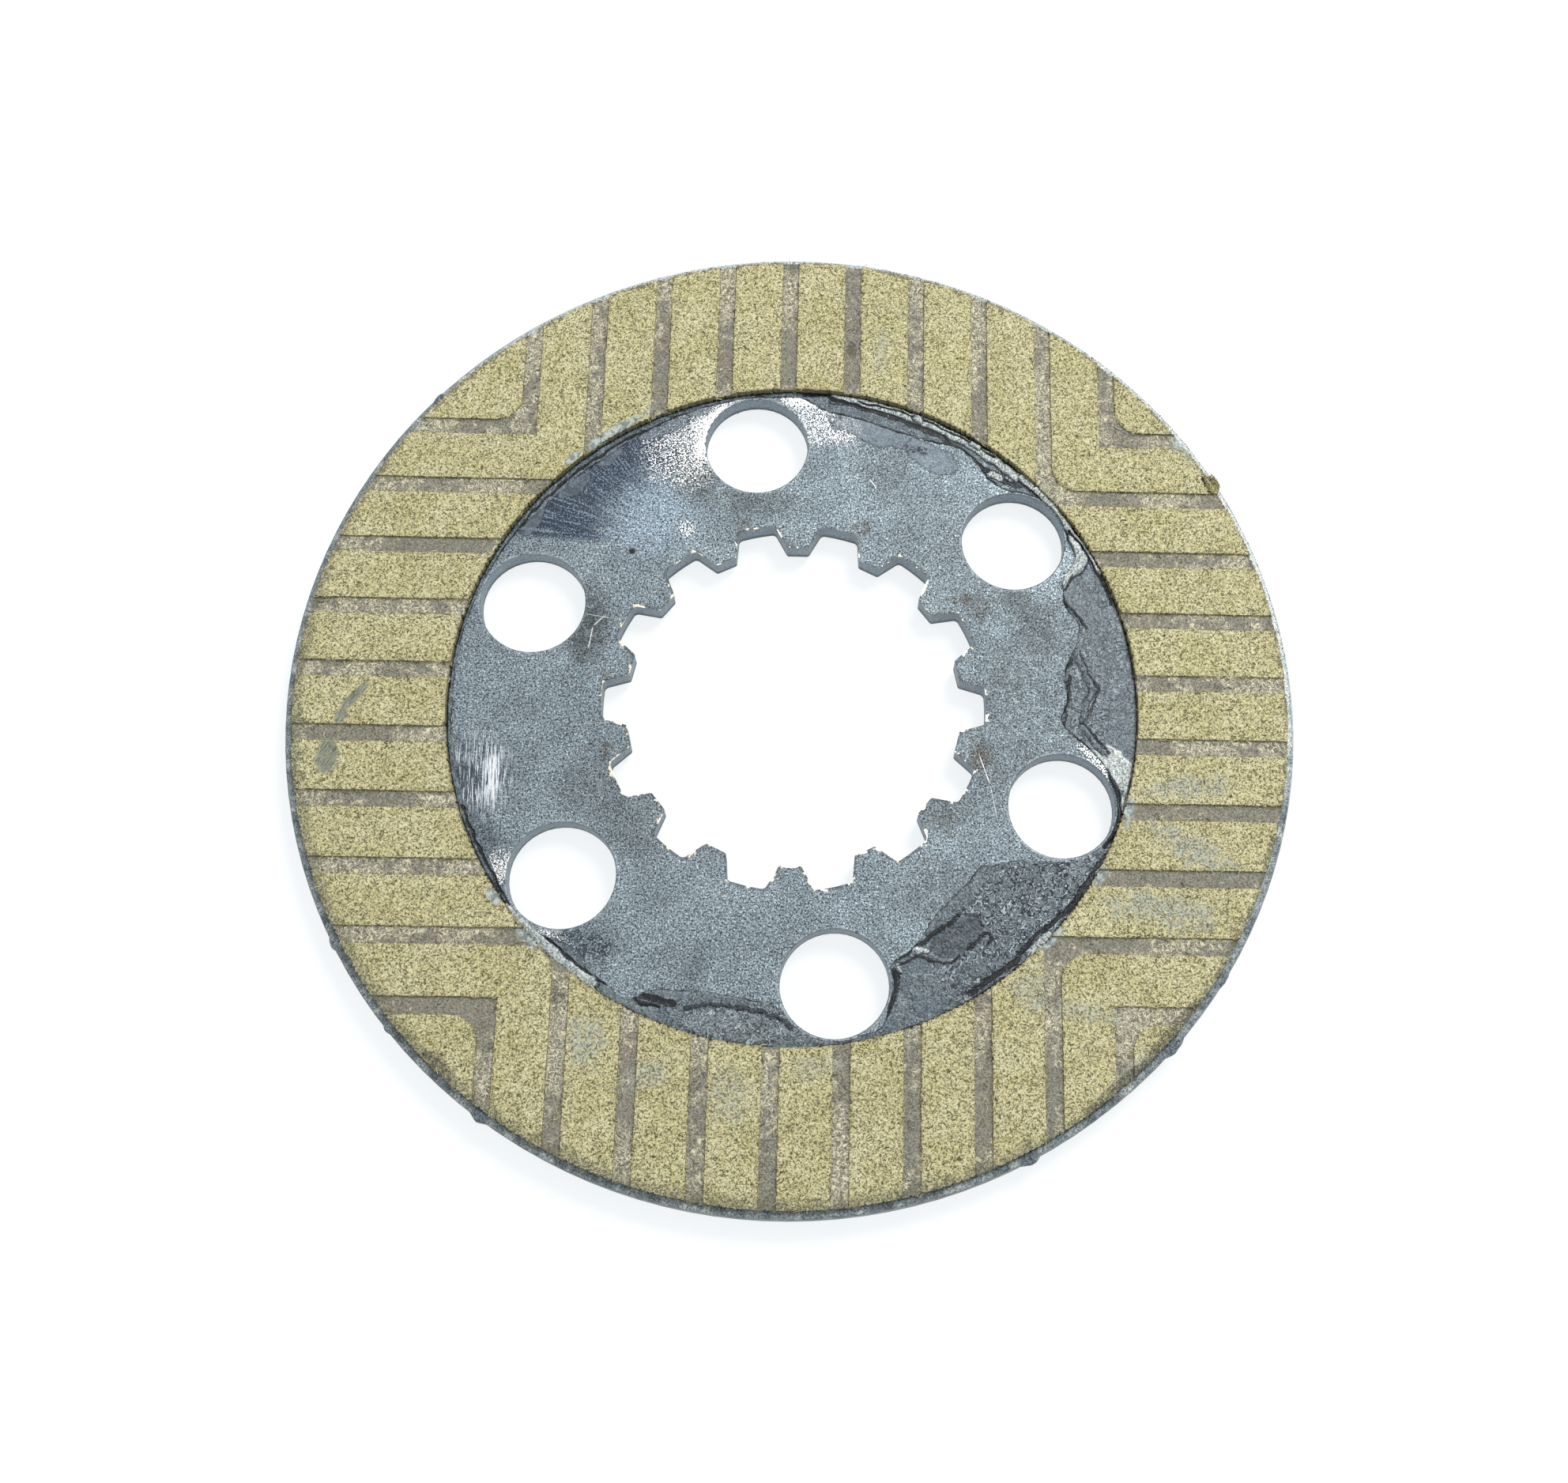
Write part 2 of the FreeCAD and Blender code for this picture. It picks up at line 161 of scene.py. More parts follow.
class Tree:
    """A shader or geometry tree, with one method that adds any node."""

    def __init__(self, tree):
        self.tree = tree

    def node(self, kind, settings=None, values=None, output=0):
        """Add a node: its settings first, then the values or links of its sockets."""
        node = self.tree.nodes.new(kind)
        for name, setting in (settings or {}).items():
            setattr(node, name, setting)
        for place, value in (values or {}).items():
            if isinstance(value, Value):
                self.tree.links.new(value.socket, node.inputs[place])
            else:
                node.inputs[place].default_value = value
        return Value(self, node.outputs[output])

    def maths(self, operation, *values):
        return self.node("ShaderNodeMath", {"operation": operation}, dict(enumerate(values)))

    def vector(self, operation, *values, output=0):
        settings = {"operation": operation}
        return self.node("ShaderNodeVectorMath", settings, dict(enumerate(values)), output)

    def scaled(self, vector, factor):
        return self.node("ShaderNodeVectorMath", {"operation": "SCALE"}, {0: vector, "Scale": factor})

    def parts(self, vector):
        """The X, Y and Z of a vector."""
        first = self.node("ShaderNodeSeparateXYZ", {}, {0: vector})
        return [Value(self, output) for output in first.socket.node.outputs]

    def joined(self, x, y, z):
        return self.node("ShaderNodeCombineXYZ", {}, {0: x, 1: y, 2: z})

    def choose(self, switch, no, yes):
        """Blend two numbers."""
        return self.node("ShaderNodeMix", {}, {0: switch, 2: no, 3: yes})

    def blend(self, factor, below, above):
        """Lay one colour over another."""
        return self.node("ShaderNodeMix", {"data_type": "RGBA"}, {0: factor, 6: below, 7: above}, 2)

    def noise(self, place, size, detail=2.0, roughness=0.5, distortion=0.0, seed=0, flat=False):
        """Cloudy noise from 0 to 1, with features about as large as size."""
        if seed:
            place = self.vector("ADD", place, (seed * 37.1, seed * 17.7, seed * 53.3))
        values = {
            "Vector": place,
            "Scale": 1 / size,
            "Detail": detail,
            "Roughness": roughness,
            "Distortion": distortion,
        }
        dimensions = "2D" if flat else "3D"
        return self.node("ShaderNodeTexNoise", {"noise_dimensions": dimensions}, values)

    def bent(self, place, size, amount):
        """Push coordinates about by noise, so that straight strokes curl."""
        values = {"Vector": place, "Scale": 1 / size, "Detail": 1.0}
        push = self.node("ShaderNodeTexNoise", {"noise_dimensions": "2D"}, values, 1)
        push = self.vector("SUBTRACT", push, (0.5, 0.5, 0.5))
        return self.vector("ADD", place, self.scaled(push, amount))

    def streaks(self, place, turn, length, width, seed=0):
        """Noise drawn out along one direction, given in degrees from +X."""
        drawn = self.local(place, (0, 0), (length, width), turn)
        return self.noise(drawn, 1, 3, 0.6, seed=seed, flat=True)

    def rays(self, flat, centre, length, width, seed=0):
        """Streaks that run away from a centre; the width holds RAY_REACH mm from it."""
        across, along, _ = self.parts(self.vector("SUBTRACT", flat, (*centre, 0)))
        away = (across * across + along * along).math("SQRT")
        turn = along.math("ARCTAN2", across)
        drawn = self.joined(turn * RAY_REACH / width, away / length, 0)
        return self.noise(drawn, 1, 3, 0.6, seed=seed, flat=True)

    def strokes(self, place, length, width, limit, seed=0):
        """Short fibres lying every way: 1 on a fibre and 0 beside it."""
        highest = 0.0
        for number, turn in enumerate(STROKE_TURNS):
            drawn = self.local(place, (0, 0), (length, width), turn)
            layer = self.noise(drawn, 1, 1, 0.5, seed=seed + number * 0.13, flat=True)
            highest = layer.most(highest)
        return highest.rise(limit, limit + 0.05)

    def local(self, place, centre, radii, turn):
        """Coordinates in which an ellipse about the centre is the unit circle."""
        values = {
            "Vector": place,
            "Location": (*centre, 0),
            "Rotation": (0, 0, math.radians(turn)),
            "Scale": (*radii, min(radii)),
        }
        return self.node("ShaderNodeMapping", {"vector_type": "TEXTURE"}, values)

    def spot(self, flat, wobble, centre, radii, turn=0, soft=0.5):
        """A patch with a ragged edge: 1 inside the ellipse and 0 outside."""
        if radii[0] == radii[1]:
            away = self.vector("DISTANCE", flat, (*centre, 0), output=1) / radii[0]
        else:
            away = self.vector("LENGTH", self.local(flat, centre, radii, turn), output=1)
        return (away + wobble).rise(1 + soft, 1 - soft)


def shade(red, green, blue):
    """A colour as a paint chart gives it, from 0 to 255, made linear."""
    linear = []
    for part in (red, green, blue):
        part = part / 255
        linear.append(part / 12.92 if part <= 0.04045 else ((part + 0.055) / 1.055) ** 2.4)
    return (*linear, 1)


# %% [markdown]
# ## Materials
# Each finish starts from a shader with the object's own coordinates in millimetres. The plan
# coordinates are the same with the height taken out, so a stain runs straight through a step.

# %% Start a material
FINE_GRAIN = 0.27


def new_material(name):
    """Return a material, its tree, its place in millimetres and its main shader node."""
    material = bpy.data.materials.new(name)
    material.use_nodes = True
    tree = Tree(material.node_tree)
    principled = material.node_tree.nodes["Principled BSDF"]
    place = tree.scaled(tree.node("ShaderNodeTexCoord", output=3), 1 / MM)
    return material, tree, place, principled


def connect(tree, principled, values):
    for name, value in values.items():
        if isinstance(value, Value):
            tree.tree.links.new(value.socket, principled.inputs[name])
        else:
            principled.inputs[name].default_value = value


def bumped(tree, height, distance):
    """Turn a height from 0 to 1 into a bump; the distance is in millimetres."""
    return tree.node("ShaderNodeBump", {}, {"Distance": distance * MM, "Height": height})


def attribute(tree, name):
    return tree.node("ShaderNodeAttribute", {"attribute_name": name}, output=2)


# %% [markdown]
# ### Friction paper
# The lining is a felt of short yellow fibres pressed with resin. Dark flecks are painted shade
# in the pits between fibres. The pressed grooves are smooth and grey-brown, with yellow fibres
# caught in them, and the lining's walls are darkened with painted shade. Oil has greyed some
# lands, and old oil has darkened the outer edge. The mesh carries its distance from the nearest
# groove, which tells a land from a groove's floor.

# %% Friction paper
# A mark is an ellipse: its centre, its radii, its turn in degrees and, if any, its strength.
LAND_SMUDGES = [
    ((64.5, -13.5), (6.0, 1.7), 6, 0.75),
    ((64.5, -24.0), (6.5, 2.3), -28, 0.85),
    ((60.0, -34.0), (8.5, 2.6), -8, 0.8),
    ((66.0, 47.0), (3.0, 1.6), -40, 0.7),
    ((13.8, 64.0), (1.1, 4.0), 0, 0.45),
    ((-30.8, -56.0), (2.6, 3.6), 10, 0.75),
    ((-21.5, -61.0), (3.6, 2.4), 20, 0.6),
    ((-8.5, -64.0), (3.4, 4.0), 0, 0.5),
    ((4.5, -59.5), (3.4, 1.6), 0, 0.45),
    ((38.5, -47.0), (2.6, 3.2), 0, 0.55),
    ((46.5, -50.5), (6.5, 1.4), -12, 0.55),
    ((54.5, -60.0), (4.0, 2.0), 40, 0.75),
    ((38.5, -73.5), (4.5, 1.8), 20, 0.6),
]
GLUE_SMEARS = [
    ((-31.6, 47.9), (5.6, 0.8), 35),
    ((-38.4, 42.6), (1.8, 0.6), 46),
    ((66.2, 47.9), (2.4, 1.2), -40),
    ((54.6, -17.8), (0.8, 2.6), -12),
    ((49.9, -28.2), (0.7, 1.6), -30),
    ((41.6, -38.9), (2.4, 0.8), 42),
    ((-46.6, -33.4), (0.7, 1.6), 40),
    ((-41.0, -40.0), (2.4, 0.8), -44),
]
SCUFFS = [
    ((-74.8, -11.0), (1.7, 3.0), -6),
    ((-73.3, -4.2), (0.9, 1.3), -30),
    ((-71.4, -0.8), (0.8, 3.2), -38),
]
DROPS = [
    ((-35.7, -49.4), (1.2, 0.8), 30),
    ((30.7, -62.2), (0.5, 0.5), 0),
    ((31.6, -57.2), (0.45, 0.7), 0),
    ((19.4, -68.4), (0.55, 1.0), 20),
    ((8.6, 64.6), (0.8, 1.6), 0),
    ((70.3, 3.8), (0.9, 0.5), 0),
    ((60.2, -53.6), (7.5, 1.1), 48),
    ((51.4, -62.0), (6.5, 0.9), 40),
    ((-53.2, -60.4), (3.6, 1.3), -41),
]
# More or fewer fibres caught in the grooves: a centre, radii and an amount.
CLUMPS = [
    ((62.0, -29.0), (15.0, 3.0), -0.3),
    ((40.0, -52.0), (10.0, 14.0), -0.2),
    ((-33.5, 64.0), (3.0, 12.0), -0.14),
    ((62.0, 14.5), (12.0, 3.0), 0.1),
    ((-39.5, -60.0), (3.0, 11.0), 0.12),
]
print(len(LAND_SMUDGES + GLUE_SMEARS + SCUFFS + DROPS + CLUMPS), "marks on the paper")

# %% [markdown]
# The felt is built up in layers, from its wide tones to its single fibres. The stains come
# after that, each with a mask of its own. A function takes the colour so far and returns the
# new one, so the order of the calls is the order of the layers.

# %% The lands and the grooves of the paper
def felt_colour(tree, fuzz, pit_shade, fibres, cloud):
    """The yellow felt of the lands."""
    felt = tree.blend(cloud.rise(0.35, 0.68), shade(210, 202, 151), shade(222, 215, 169))
    felt = tree.blend(fuzz.rise(0.38, 0.51), shade(112, 106, 66), felt)
    felt = tree.blend(fuzz.rise(0.57, 0.69) * 0.6, felt, shade(252, 248, 212))
    # Painted shade in the pits between fibres.
    felt = tree.blend(pit_shade * 0.85, felt, shade(70, 65, 38))
    return tree.blend(fibres * 0.35, felt, shade(250, 246, 212))


def pressed_colour(tree, flat, out, curled, fuzz, pit_shade, patch):
    """The pressed floor of the grooves, with fibres caught in it."""
    worn = patch + tree.noise(flat, 16, 1, seed=6, flat=True) - 0.5
    for centre, radii, amount in CLUMPS:
        worn = tree.spot(flat, 0, centre, radii) * amount + worn
    ends = out.rise(74.5, 78.5) * 0.04 + out.rise(61, 57) * 0.03
    caught = tree.strokes(curled, 0.9, 0.2, 0.64, seed=5)
    clumps = (worn + ends).rise(0.42, 0.6)
    caught = caught * (0.12 + 0.88 * clumps)
    pressed = tree.blend(fuzz.rise(0.38, 0.6), shade(100, 97, 86), shade(158, 155, 142))
    pressed = tree.blend(patch.rise(0.35, 0.65) * 0.5, pressed, shade(138, 134, 122))
    # Painted shade in the pits between fibres.
    pressed = tree.blend(pit_shade * 0.6, pressed, shade(74, 72, 64))
    pressed = tree.blend(clumps * fuzz.rise(0.45, 0.6) * 0.3, pressed, shade(196, 190, 160))
    return tree.blend(caught * 0.9, pressed, shade(238, 232, 198))


# %% Stains of the paper
def with_smudges(tree, colour, flat, z, fuzz, smudged, wobble):
    """Lands that oil has greyed."""
    grey = 0.0
    for centre, radii, turn, strength in LAND_SMUDGES:
        grey = tree.spot(flat, wobble, centre, radii, turn) * strength + grey
    grey = grey.least(0.95) * smudged.rise(0.25, 0.55) * z.rise(0, 1)
    smudge_shade = tree.blend(fuzz.rise(0.35, 0.6), shade(116, 121, 110), shade(190, 195, 180))
    return tree.blend(grey, colour, smudge_shade)


def with_soaked_edges(tree, colour, x, y, out, patch, fuzz):
    """Old oil along the rim, widest on the near side, and a little along the bore."""
    edge_wobble = (patch - 0.5) * 3.4
    lean = (x * -0.55 - y * 0.84) / LINING_RADIUS
    depth = lean.rise(-0.6, 0.9) * 2.2 + 0.45
    stain = ((LINING_RADIUS - out + edge_wobble) / depth).rise(1.0, 0.1)
    stain = stain * (0.35 + 0.6 * fuzz.rise(0.65, 0.35))
    colour = tree.blend(stain, colour, shade(104, 104, 84))
    inner = (out - LINING_BORE + (patch - 0.5) * 0.8).rise(0.5, 0.05)
    return tree.blend(inner * 0.45, colour, shade(126, 122, 88))


def with_scuffs_and_drops(tree, colour, flat, z, fuzz, wobble):
    """Rubbed places and single drops of oil."""
    lines = tree.streaks(flat, 60, 2.2, 0.16, seed=10)
    for centre, radii, turn in SCUFFS:
        mark = tree.spot(flat, wobble * 0.35, centre, radii, turn, 0.25) * z.rise(0, 1)
        scuffed = tree.blend(lines.rise(0.35, 0.65), shade(92, 98, 90), shade(156, 161, 149))
        colour = tree.blend(mark * 0.85, colour, scuffed)
    for centre, radii, turn in DROPS:
        mark = tree.spot(flat, wobble * 0.3, centre, radii, turn, 0.2) * z.rise(0, 1)
        colour = tree.blend(mark * (0.35 + 0.6 * fuzz.rise(0.6, 0.4)), colour, shade(88, 86, 74))
    return colour


def with_glue(tree, colour, flat, z, smudged, wobble):
    """Pale resin smeared onto the face."""
    glued = 0.0
    for centre, radii, turn in GLUE_SMEARS:
        glued = tree.spot(flat, wobble * 0.7, centre, radii, turn, 0.3) + glued
    glued = glued.least(1) * z.rise(0, 1)
    smear = tree.blend(smudged.rise(0.4, 0.6), shade(128, 140, 140), shade(198, 208, 202))
    return tree.blend(glued * 0.9, colour, smear)


def with_paper_walls(tree, colour, out, upward, patch):
    """Walls darkened with painted shade, and a soaked wall at the rim."""
    wall = upward.rise(0.75, 0.35)
    # Painted shade: every wall of the lining is darkened.
    colour = tree.blend(wall * 0.6, colour, shade(98, 95, 70))
    rim_wall = wall * out.rise(LINING_RADIUS - 0.6, LINING_RADIUS - 0.3)
    soaked = tree.blend(patch.rise(0.35, 0.65), shade(88, 94, 94), shade(128, 128, 106))
    return tree.blend(rim_wall * 0.85, colour, soaked)


# %% The paper's finish
def paper_finish():
    """Pressed paper lining with oil stains."""
    material, tree, place, principled = new_material("friction paper")
    flat = tree.vector("MULTIPLY", place, (1, 1, 0))
    x, y, z = tree.parts(place)
    out = tree.vector("LENGTH", flat, output=1)
    upward = abs(tree.parts(tree.node("ShaderNodeTexCoord", output=1))[2])
    gap = attribute(tree, "groove_gap")

    curled = tree.bent(flat, 1.0, 1.1)
    fuzz = tree.noise(place, FINE_GRAIN, 2, 0.6)
    pit_shade = tree.strokes(curled, 0.6, 0.19, 0.67, seed=1)
    fibres = tree.strokes(curled, 0.9, 0.2, 0.69, seed=2)
    cloud = tree.noise(flat, 7, 3, 0.55, seed=3, flat=True)
    patch = tree.noise(flat, 2.6, 3, 0.6, seed=4, flat=True)

    felt = felt_colour(tree, fuzz, pit_shade, fibres, cloud)
    pressed = pressed_colour(tree, flat, out, curled, fuzz, pit_shade, patch)
    fray = tree.noise(flat, 0.5, 2, 0.6, seed=7, flat=True)
    land = (gap + (fray - 0.5) * 0.7).rise(-0.12, 0.08)
    colour = tree.blend(land, pressed, felt)

    smudged = tree.noise(flat, 1.1, 3, 0.7, seed=8, flat=True)
    wobble = (tree.noise(flat, 3.0, 3, 0.65, seed=9, flat=True) - 0.5) * 2.2
    colour = with_smudges(tree, colour, flat, z, fuzz, smudged, wobble)
    colour = with_soaked_edges(tree, colour, x, y, out, patch, fuzz)
    colour = with_scuffs_and_drops(tree, colour, flat, z, fuzz, wobble)
    colour = with_glue(tree, colour, flat, z, smudged, wobble)
    colour = with_paper_walls(tree, colour, out, upward, patch)

    relief = fuzz * (0.4 + land * 0.6)
    connect(tree, principled, {
        "Base Color": colour,
        "Roughness": 0.86 - (1 - land) * 0.16,
        "Specular IOR Level": 0.25,
        "Normal": bumped(tree, relief, 0.12),
    })
    return material


PAPER = paper_finish()
print("material:", PAPER.name, "with", len(PAPER.node_tree.nodes), "nodes")

# %% [markdown]
# ### Steel
# The plate was stamped from rolled steel and has run in oil. Its face is granular and
# blue-grey, with brown stains, brushed fans where it was wiped with an abrasive, and a few
# polished places whose glints are painted highlights. Stamped walls are smoother. The tips of
# the teeth have bright edges, part worn metal and part painted highlight, beside a painted
# dark shade line, and the oil holes have a painted highlight round their rims. Each stain is
# an ellipse with a ragged edge, given one by one.

# %% Steel
# A zone: its centre, radii, turn in degrees, strength and colour.
STEEL_ZONES = [
    ((-25.5, 33.5), (7.2, 7.2), 0, 0.85, (158, 176, 189)),
    ((-34.5, 13.5), (3.6, 6.5), -10, 0.75, (78, 84, 84)),
    ((-31.0, -14.0), (5.4, 5.4), 0, 0.5, (92, 98, 102)),
    ((-25.0, -21.0), (5.0, 5.0), 0, 0.35, (98, 105, 108)),
    ((-52.5, -15.0), (2.0, 8.0), 8, 0.7, (78, 88, 97)),
    ((-50.0, -24.0), (3.7, 3.7), 0, 0.6, (74, 86, 96)),
    ((-17.0, 40.5), (4.6, 4.6), 0, 0.65, (88, 95, 96)),
    ((-7.0, 35.5), (6.0, 2.4), 0, 0.55, (92, 100, 100)),
    ((40.0, 14.0), (3.0, 5.2), 15, 0.75, (84, 89, 90)),
    ((36.5, 19.5), (2.3, 2.3), 0, 0.6, (82, 87, 86)),
    ((35.0, 6.0), (4.0, 4.0), 0, 0.3, (104, 110, 112)),
    ((31.0, 17.5), (2.0, 2.0), 0, 0.7, (78, 74, 66)),
    ((31.0, -9.0), (2.0, 3.6), 10, 0.65, (88, 84, 72)),
    ((24.0, -18.0), (4.0, 4.0), 0, 0.5, (84, 88, 84)),
    ((40.0, -2.0), (13.0, 20.0), 0, 0.6, (104, 114, 119)),
    ((45.5, 17.0), (4.5, 4.5), 0, 0.4, (112, 122, 128)),
    ((22.0, -31.0), (5.2, 5.2), 0, 0.45, (96, 104, 108)),
    ((14.0, 44.5), (4.6, 4.6), 0, 0.45, (96, 104, 108)),
    ((-14.5, -44.0), (1.6, 4.0), -25, 0.55, (80, 92, 100)),
    ((-50.0, 3.0), (6.5, 6.5), 0, 0.3, (142, 156, 164)),
    ((-10.0, -38.0), (9.5, 9.5), 0, 0.3, (146, 160, 166)),
    ((26.0, 27.0), (15.0, 9.0), -40, 0.5, (112, 122, 127)),
    ((-27.8, 26.3), (0.5, 0.5), 0, 0.95, (34, 38, 42)),
    ((-9.8, 29.8), (0.5, 0.5), 0, 0.8, (60, 60, 58)),
]
# A rust stain: its centre, radius and strength.
RUST_ZONES = [
    ((10.6, 31.6), 1.4, 0.7),
    ((27.2, 18.4), 1.6, 0.7),
    ((29.8, -8.6), 1.9, 0.6),
    ((-30.2, -8.3), 1.0, 0.5),
    ((-9.0, 31.2), 1.4, 0.6),
    ((-31.0, 3.8), 0.9, 0.5),
    ((33.0, 24.0), 2.2, 0.5),
]
# A place with painted highlights as bright specks: its centre, radii, turn and how many specks.
GLINT_ZONES = [
    ((-14.6, 51.4), (3.4, 1.4), 32, 1.0),
    ((-16.4, 47.8), (1.4, 4.4), -14, 1.0),
    ((-19.6, 45.4), (4.6, 4.6), 0, 0.25),
    ((0.6, 54.9), (3.0, 1.0), -10, 0.9),
    ((3.6, 51.6), (3.2, 3.2), 0, 0.12),
    ((8.2, 50.0), (1.6, 1.6), 0, 0.12),
    ((-18.8, 30.6), (0.9, 0.9), 0, 0.2),
    ((-46.6, -29.0), (1.5, 2.6), -28, 0.45),
    ((52.4, -10.4), (4.4, 1.5), -42, 0.3),
    ((-38.0, -40.5), (1.6, 1.6), 0, 0.5),
]
# A brushed place: its centre, radii, turn, the direction of its lines, strength and gleam. Its bright
# lines are painted highlight, which the gleam widens.
BRUSHED_SHEEN_ZONES = [
    ((-50.2, -13.0), (4.2, 6.4), 5, 92, 0.95, 0.0),
    ((-48.5, -13.6), (1.3, 3.8), 4, 92, 1.0, 0.16),
    ((5.5, 50.0), (6.0, 4.2), 0, 110, 0.5, 0.0),
]
FAN_CENTRE = (-19.0, 27.5)
# A thin skin of dried resin: its centre, radii and turn.
SKINS = [
    ((-38.4, 38.2), (3.2, 2.0), 38),
    ((-44.6, 31.6), (1.2, 3.0), -28),
    ((-32.6, 43.6), (2.6, 1.3), 40),
    ((-23.5, 49.6), (5.0, 1.5), 24),
    ((-17.6, 52.6), (2.2, 1.0), 14),
    ((13.0, 49.6), (7.5, 2.6), -18),
    ((23.0, 44.6), (5.0, 2.2), -32),
]
# A scratch: its two ends, width and strength.
SCRATCHES = [
    ((-31.8, 14.6), (-33.6, 12.8), 0.16, 0.8),
    ((-33.6, 12.8), (-34.2, 8.6), 0.16, 0.8),
    ((-35.0, 14.9), (-30.6, 14.2), 0.12, 0.5),
    ((30.4, -8.2), (32.2, -13.4), 0.14, 0.7),
    ((32.2, -13.4), (33.4, -19.6), 0.12, 0.5),
    ((-48.4, -9.6), (-48.0, -17.6), 0.34, 0.95),
    ((12.0, 40.5), (13.2, 38.8), 0.16, 0.7),
    ((-12.0, -2.0), (-36.0, -4.5), 0.08, 0.3),
    ((34.0, -2.0), (43.0, -9.0), 0.1, 0.3),
    ((36.0, 0.5), (44.0, -6.0), 0.1, 0.3),
]
print(len(STEEL_ZONES + RUST_ZONES + GLINT_ZONES + SKINS), "places on the steel")

# %% [markdown]
# Some marks follow the plate's own outline. The spline and the oil holes repeat round the
# axis, so the angle is folded into one step, and one tooth and one hole stand for all.

# %% Scratches, and distances from the spline
def scratch_mask(tree, flat, start, end, width):
    """A thin straight line between two points of the plan."""
    reach = Vector(end) - Vector(start)
    middle = (Vector(start) + Vector(end)) / 2
    turn = math.degrees(math.atan2(reach.y, reach.x))
    away = tree.vector("ABSOLUTE", tree.local(flat, middle, (reach.length / 2, width / 2), turn))
    along, across, _ = tree.parts(away)
    return along.rise(1.0, 0.7) * across.rise(1.2, 0.5)


def fold_angle(tree, angle, first, count):
    """Bring an angle to within half a step of the nearest of the evenly spaced directions."""
    step = math.tau / count
    return (angle - first + step / 2).math("FLOORED_MODULO", step) - step / 2


def tooth_edge_distance(tree, out, angle):
    """How far the steel stands back from the spline's outline, in millimetres."""
    turned = fold_angle(tree, angle, math.pi / 2, TOOTH_COUNT)
    across = abs(out * turned.math("SINE"))
    along = out * turned.math("COSINE")
    slope = math.atan2(TOOTH_BASE_HALF - TOOTH_TIP_HALF, TOOTH_ROOT - TOOTH_TIP)
    flank = (TOOTH_TIP_HALF - across) * math.cos(slope) + (along - TOOTH_TIP) * math.sin(slope)
    tip = along - TOOTH_TIP
    root = out - TOOTH_ROOT
    return root.most(flank.least(tip))


# %% [markdown]
# The steel gets its stains first, and then a grain that darkens and lightens them, so that
# the specks keep the stain's colour. Wiped fans, scratches and resin skins lie over both.

# %% Stains and grain of the steel
def stained_steel(tree, flat, cloud, coarse, wobble):
    """The rolled face with its stains, before it gets its grain."""
    mottle = coarse.rise(0.25, 0.6) * 0.75 + 0.4
    tint = tree.blend(cloud.rise(0.36, 0.66), shade(130, 143, 150), shade(146, 160, 167))
    for centre, radii, turn, strength, shade_here in STEEL_ZONES:
        mask = tree.spot(flat, wobble * 0.6, centre, radii, turn, 0.55)
        tint = tree.blend(mask * strength * mottle, tint, shade(*shade_here))
    for centre, radius, strength in RUST_ZONES:
        mask = tree.spot(flat, wobble, centre, (radius, radius), 0, 0.6)
        tint = tree.blend(mask * coarse.rise(0.35, 0.6) * strength, tint, shade(96, 84, 70))
    return tint


def grained(tree, tint, grain, pit_shade):
    """Dark and bright specks in shades of the stain below them, and painted shade in the pits."""
    dark, pale = tree.scaled(tint, 0.12), tree.scaled(tint, 2.2)
    colour = tree.blend(grain.rise(0.37, 0.55), dark, tint)
    colour = tree.blend(grain.rise(0.58, 0.66) * 0.7, colour, pale)
    # Painted shade in the pits.
    return tree.blend(pit_shade * 0.6, colour, dark)


# %% Wiped, brushed and scratched places
def with_fan(tree, colour, flat, grain, wobble):
    """A dark fan of fine lines that runs out from one place."""
    lines = tree.rays(flat, FAN_CENTRE, 9, 0.3, seed=11)
    from_fan = tree.vector("SUBTRACT", flat, (*FAN_CENTRE, 0))
    away = tree.vector("LENGTH", from_fan, output=1)
    fan_x, fan_y, _ = tree.parts(from_fan)
    turn = fan_y.math("ARCTAN2", fan_x)
    wiped = (away + (lines - 0.5) * 18 + wobble).rise(10, 17) * away.rise(34, 26)
    wiped = wiped * (turn + wobble * 0.1).rise(1.45, 1.8) * turn.rise(3.14, 3.06)
    colour = tree.blend(wiped * 0.9, colour, shade(32, 43, 60))
    streak = (lines + (grain - 0.5) * 1.4).rise(0.56, 0.68)
    return tree.blend(wiped * streak * 0.5, colour, shade(158, 177, 194))


def with_brushing_and_sheen(tree, colour, flat, wobble):
    """Straight fine lines: dark brushing marks, and bright ones that are painted highlight."""
    for centre, radii, turn, direction, strength, gleam in BRUSHED_SHEEN_ZONES:
        mask = tree.spot(flat, wobble * 0.5, centre, radii, turn, 0.5) * strength
        lines = tree.streaks(flat, direction, 4.0, 0.2, seed=4)
        colour = tree.blend(mask * lines.rise(0.5, 0.38) * 0.85, colour, shade(36, 46, 62))
        lit = lines.rise(0.54 - gleam, 0.62 - gleam)
        colour = tree.blend(mask * lit * 0.85, colour, shade(226, 233, 240))
    return colour


def with_glints_and_scratches(tree, colour, flat, grain, wobble):
    """Painted highlights as bright specks, and scratches."""
    for centre, radii, turn, strength in GLINT_ZONES:
        mask = tree.spot(flat, wobble * 0.6, centre, radii, turn, 0.9)
        lit = (grain + mask * strength * 0.16).rise(0.55, 0.61) * (mask * 5).least(1)
        colour = tree.blend(lit, colour, shade(250, 250, 248))
    for start, end, width, strength in SCRATCHES:
        mask = scratch_mask(tree, flat, start, end, width)
        colour = tree.blend(mask * strength, colour, shade(226, 230, 228))
    return colour


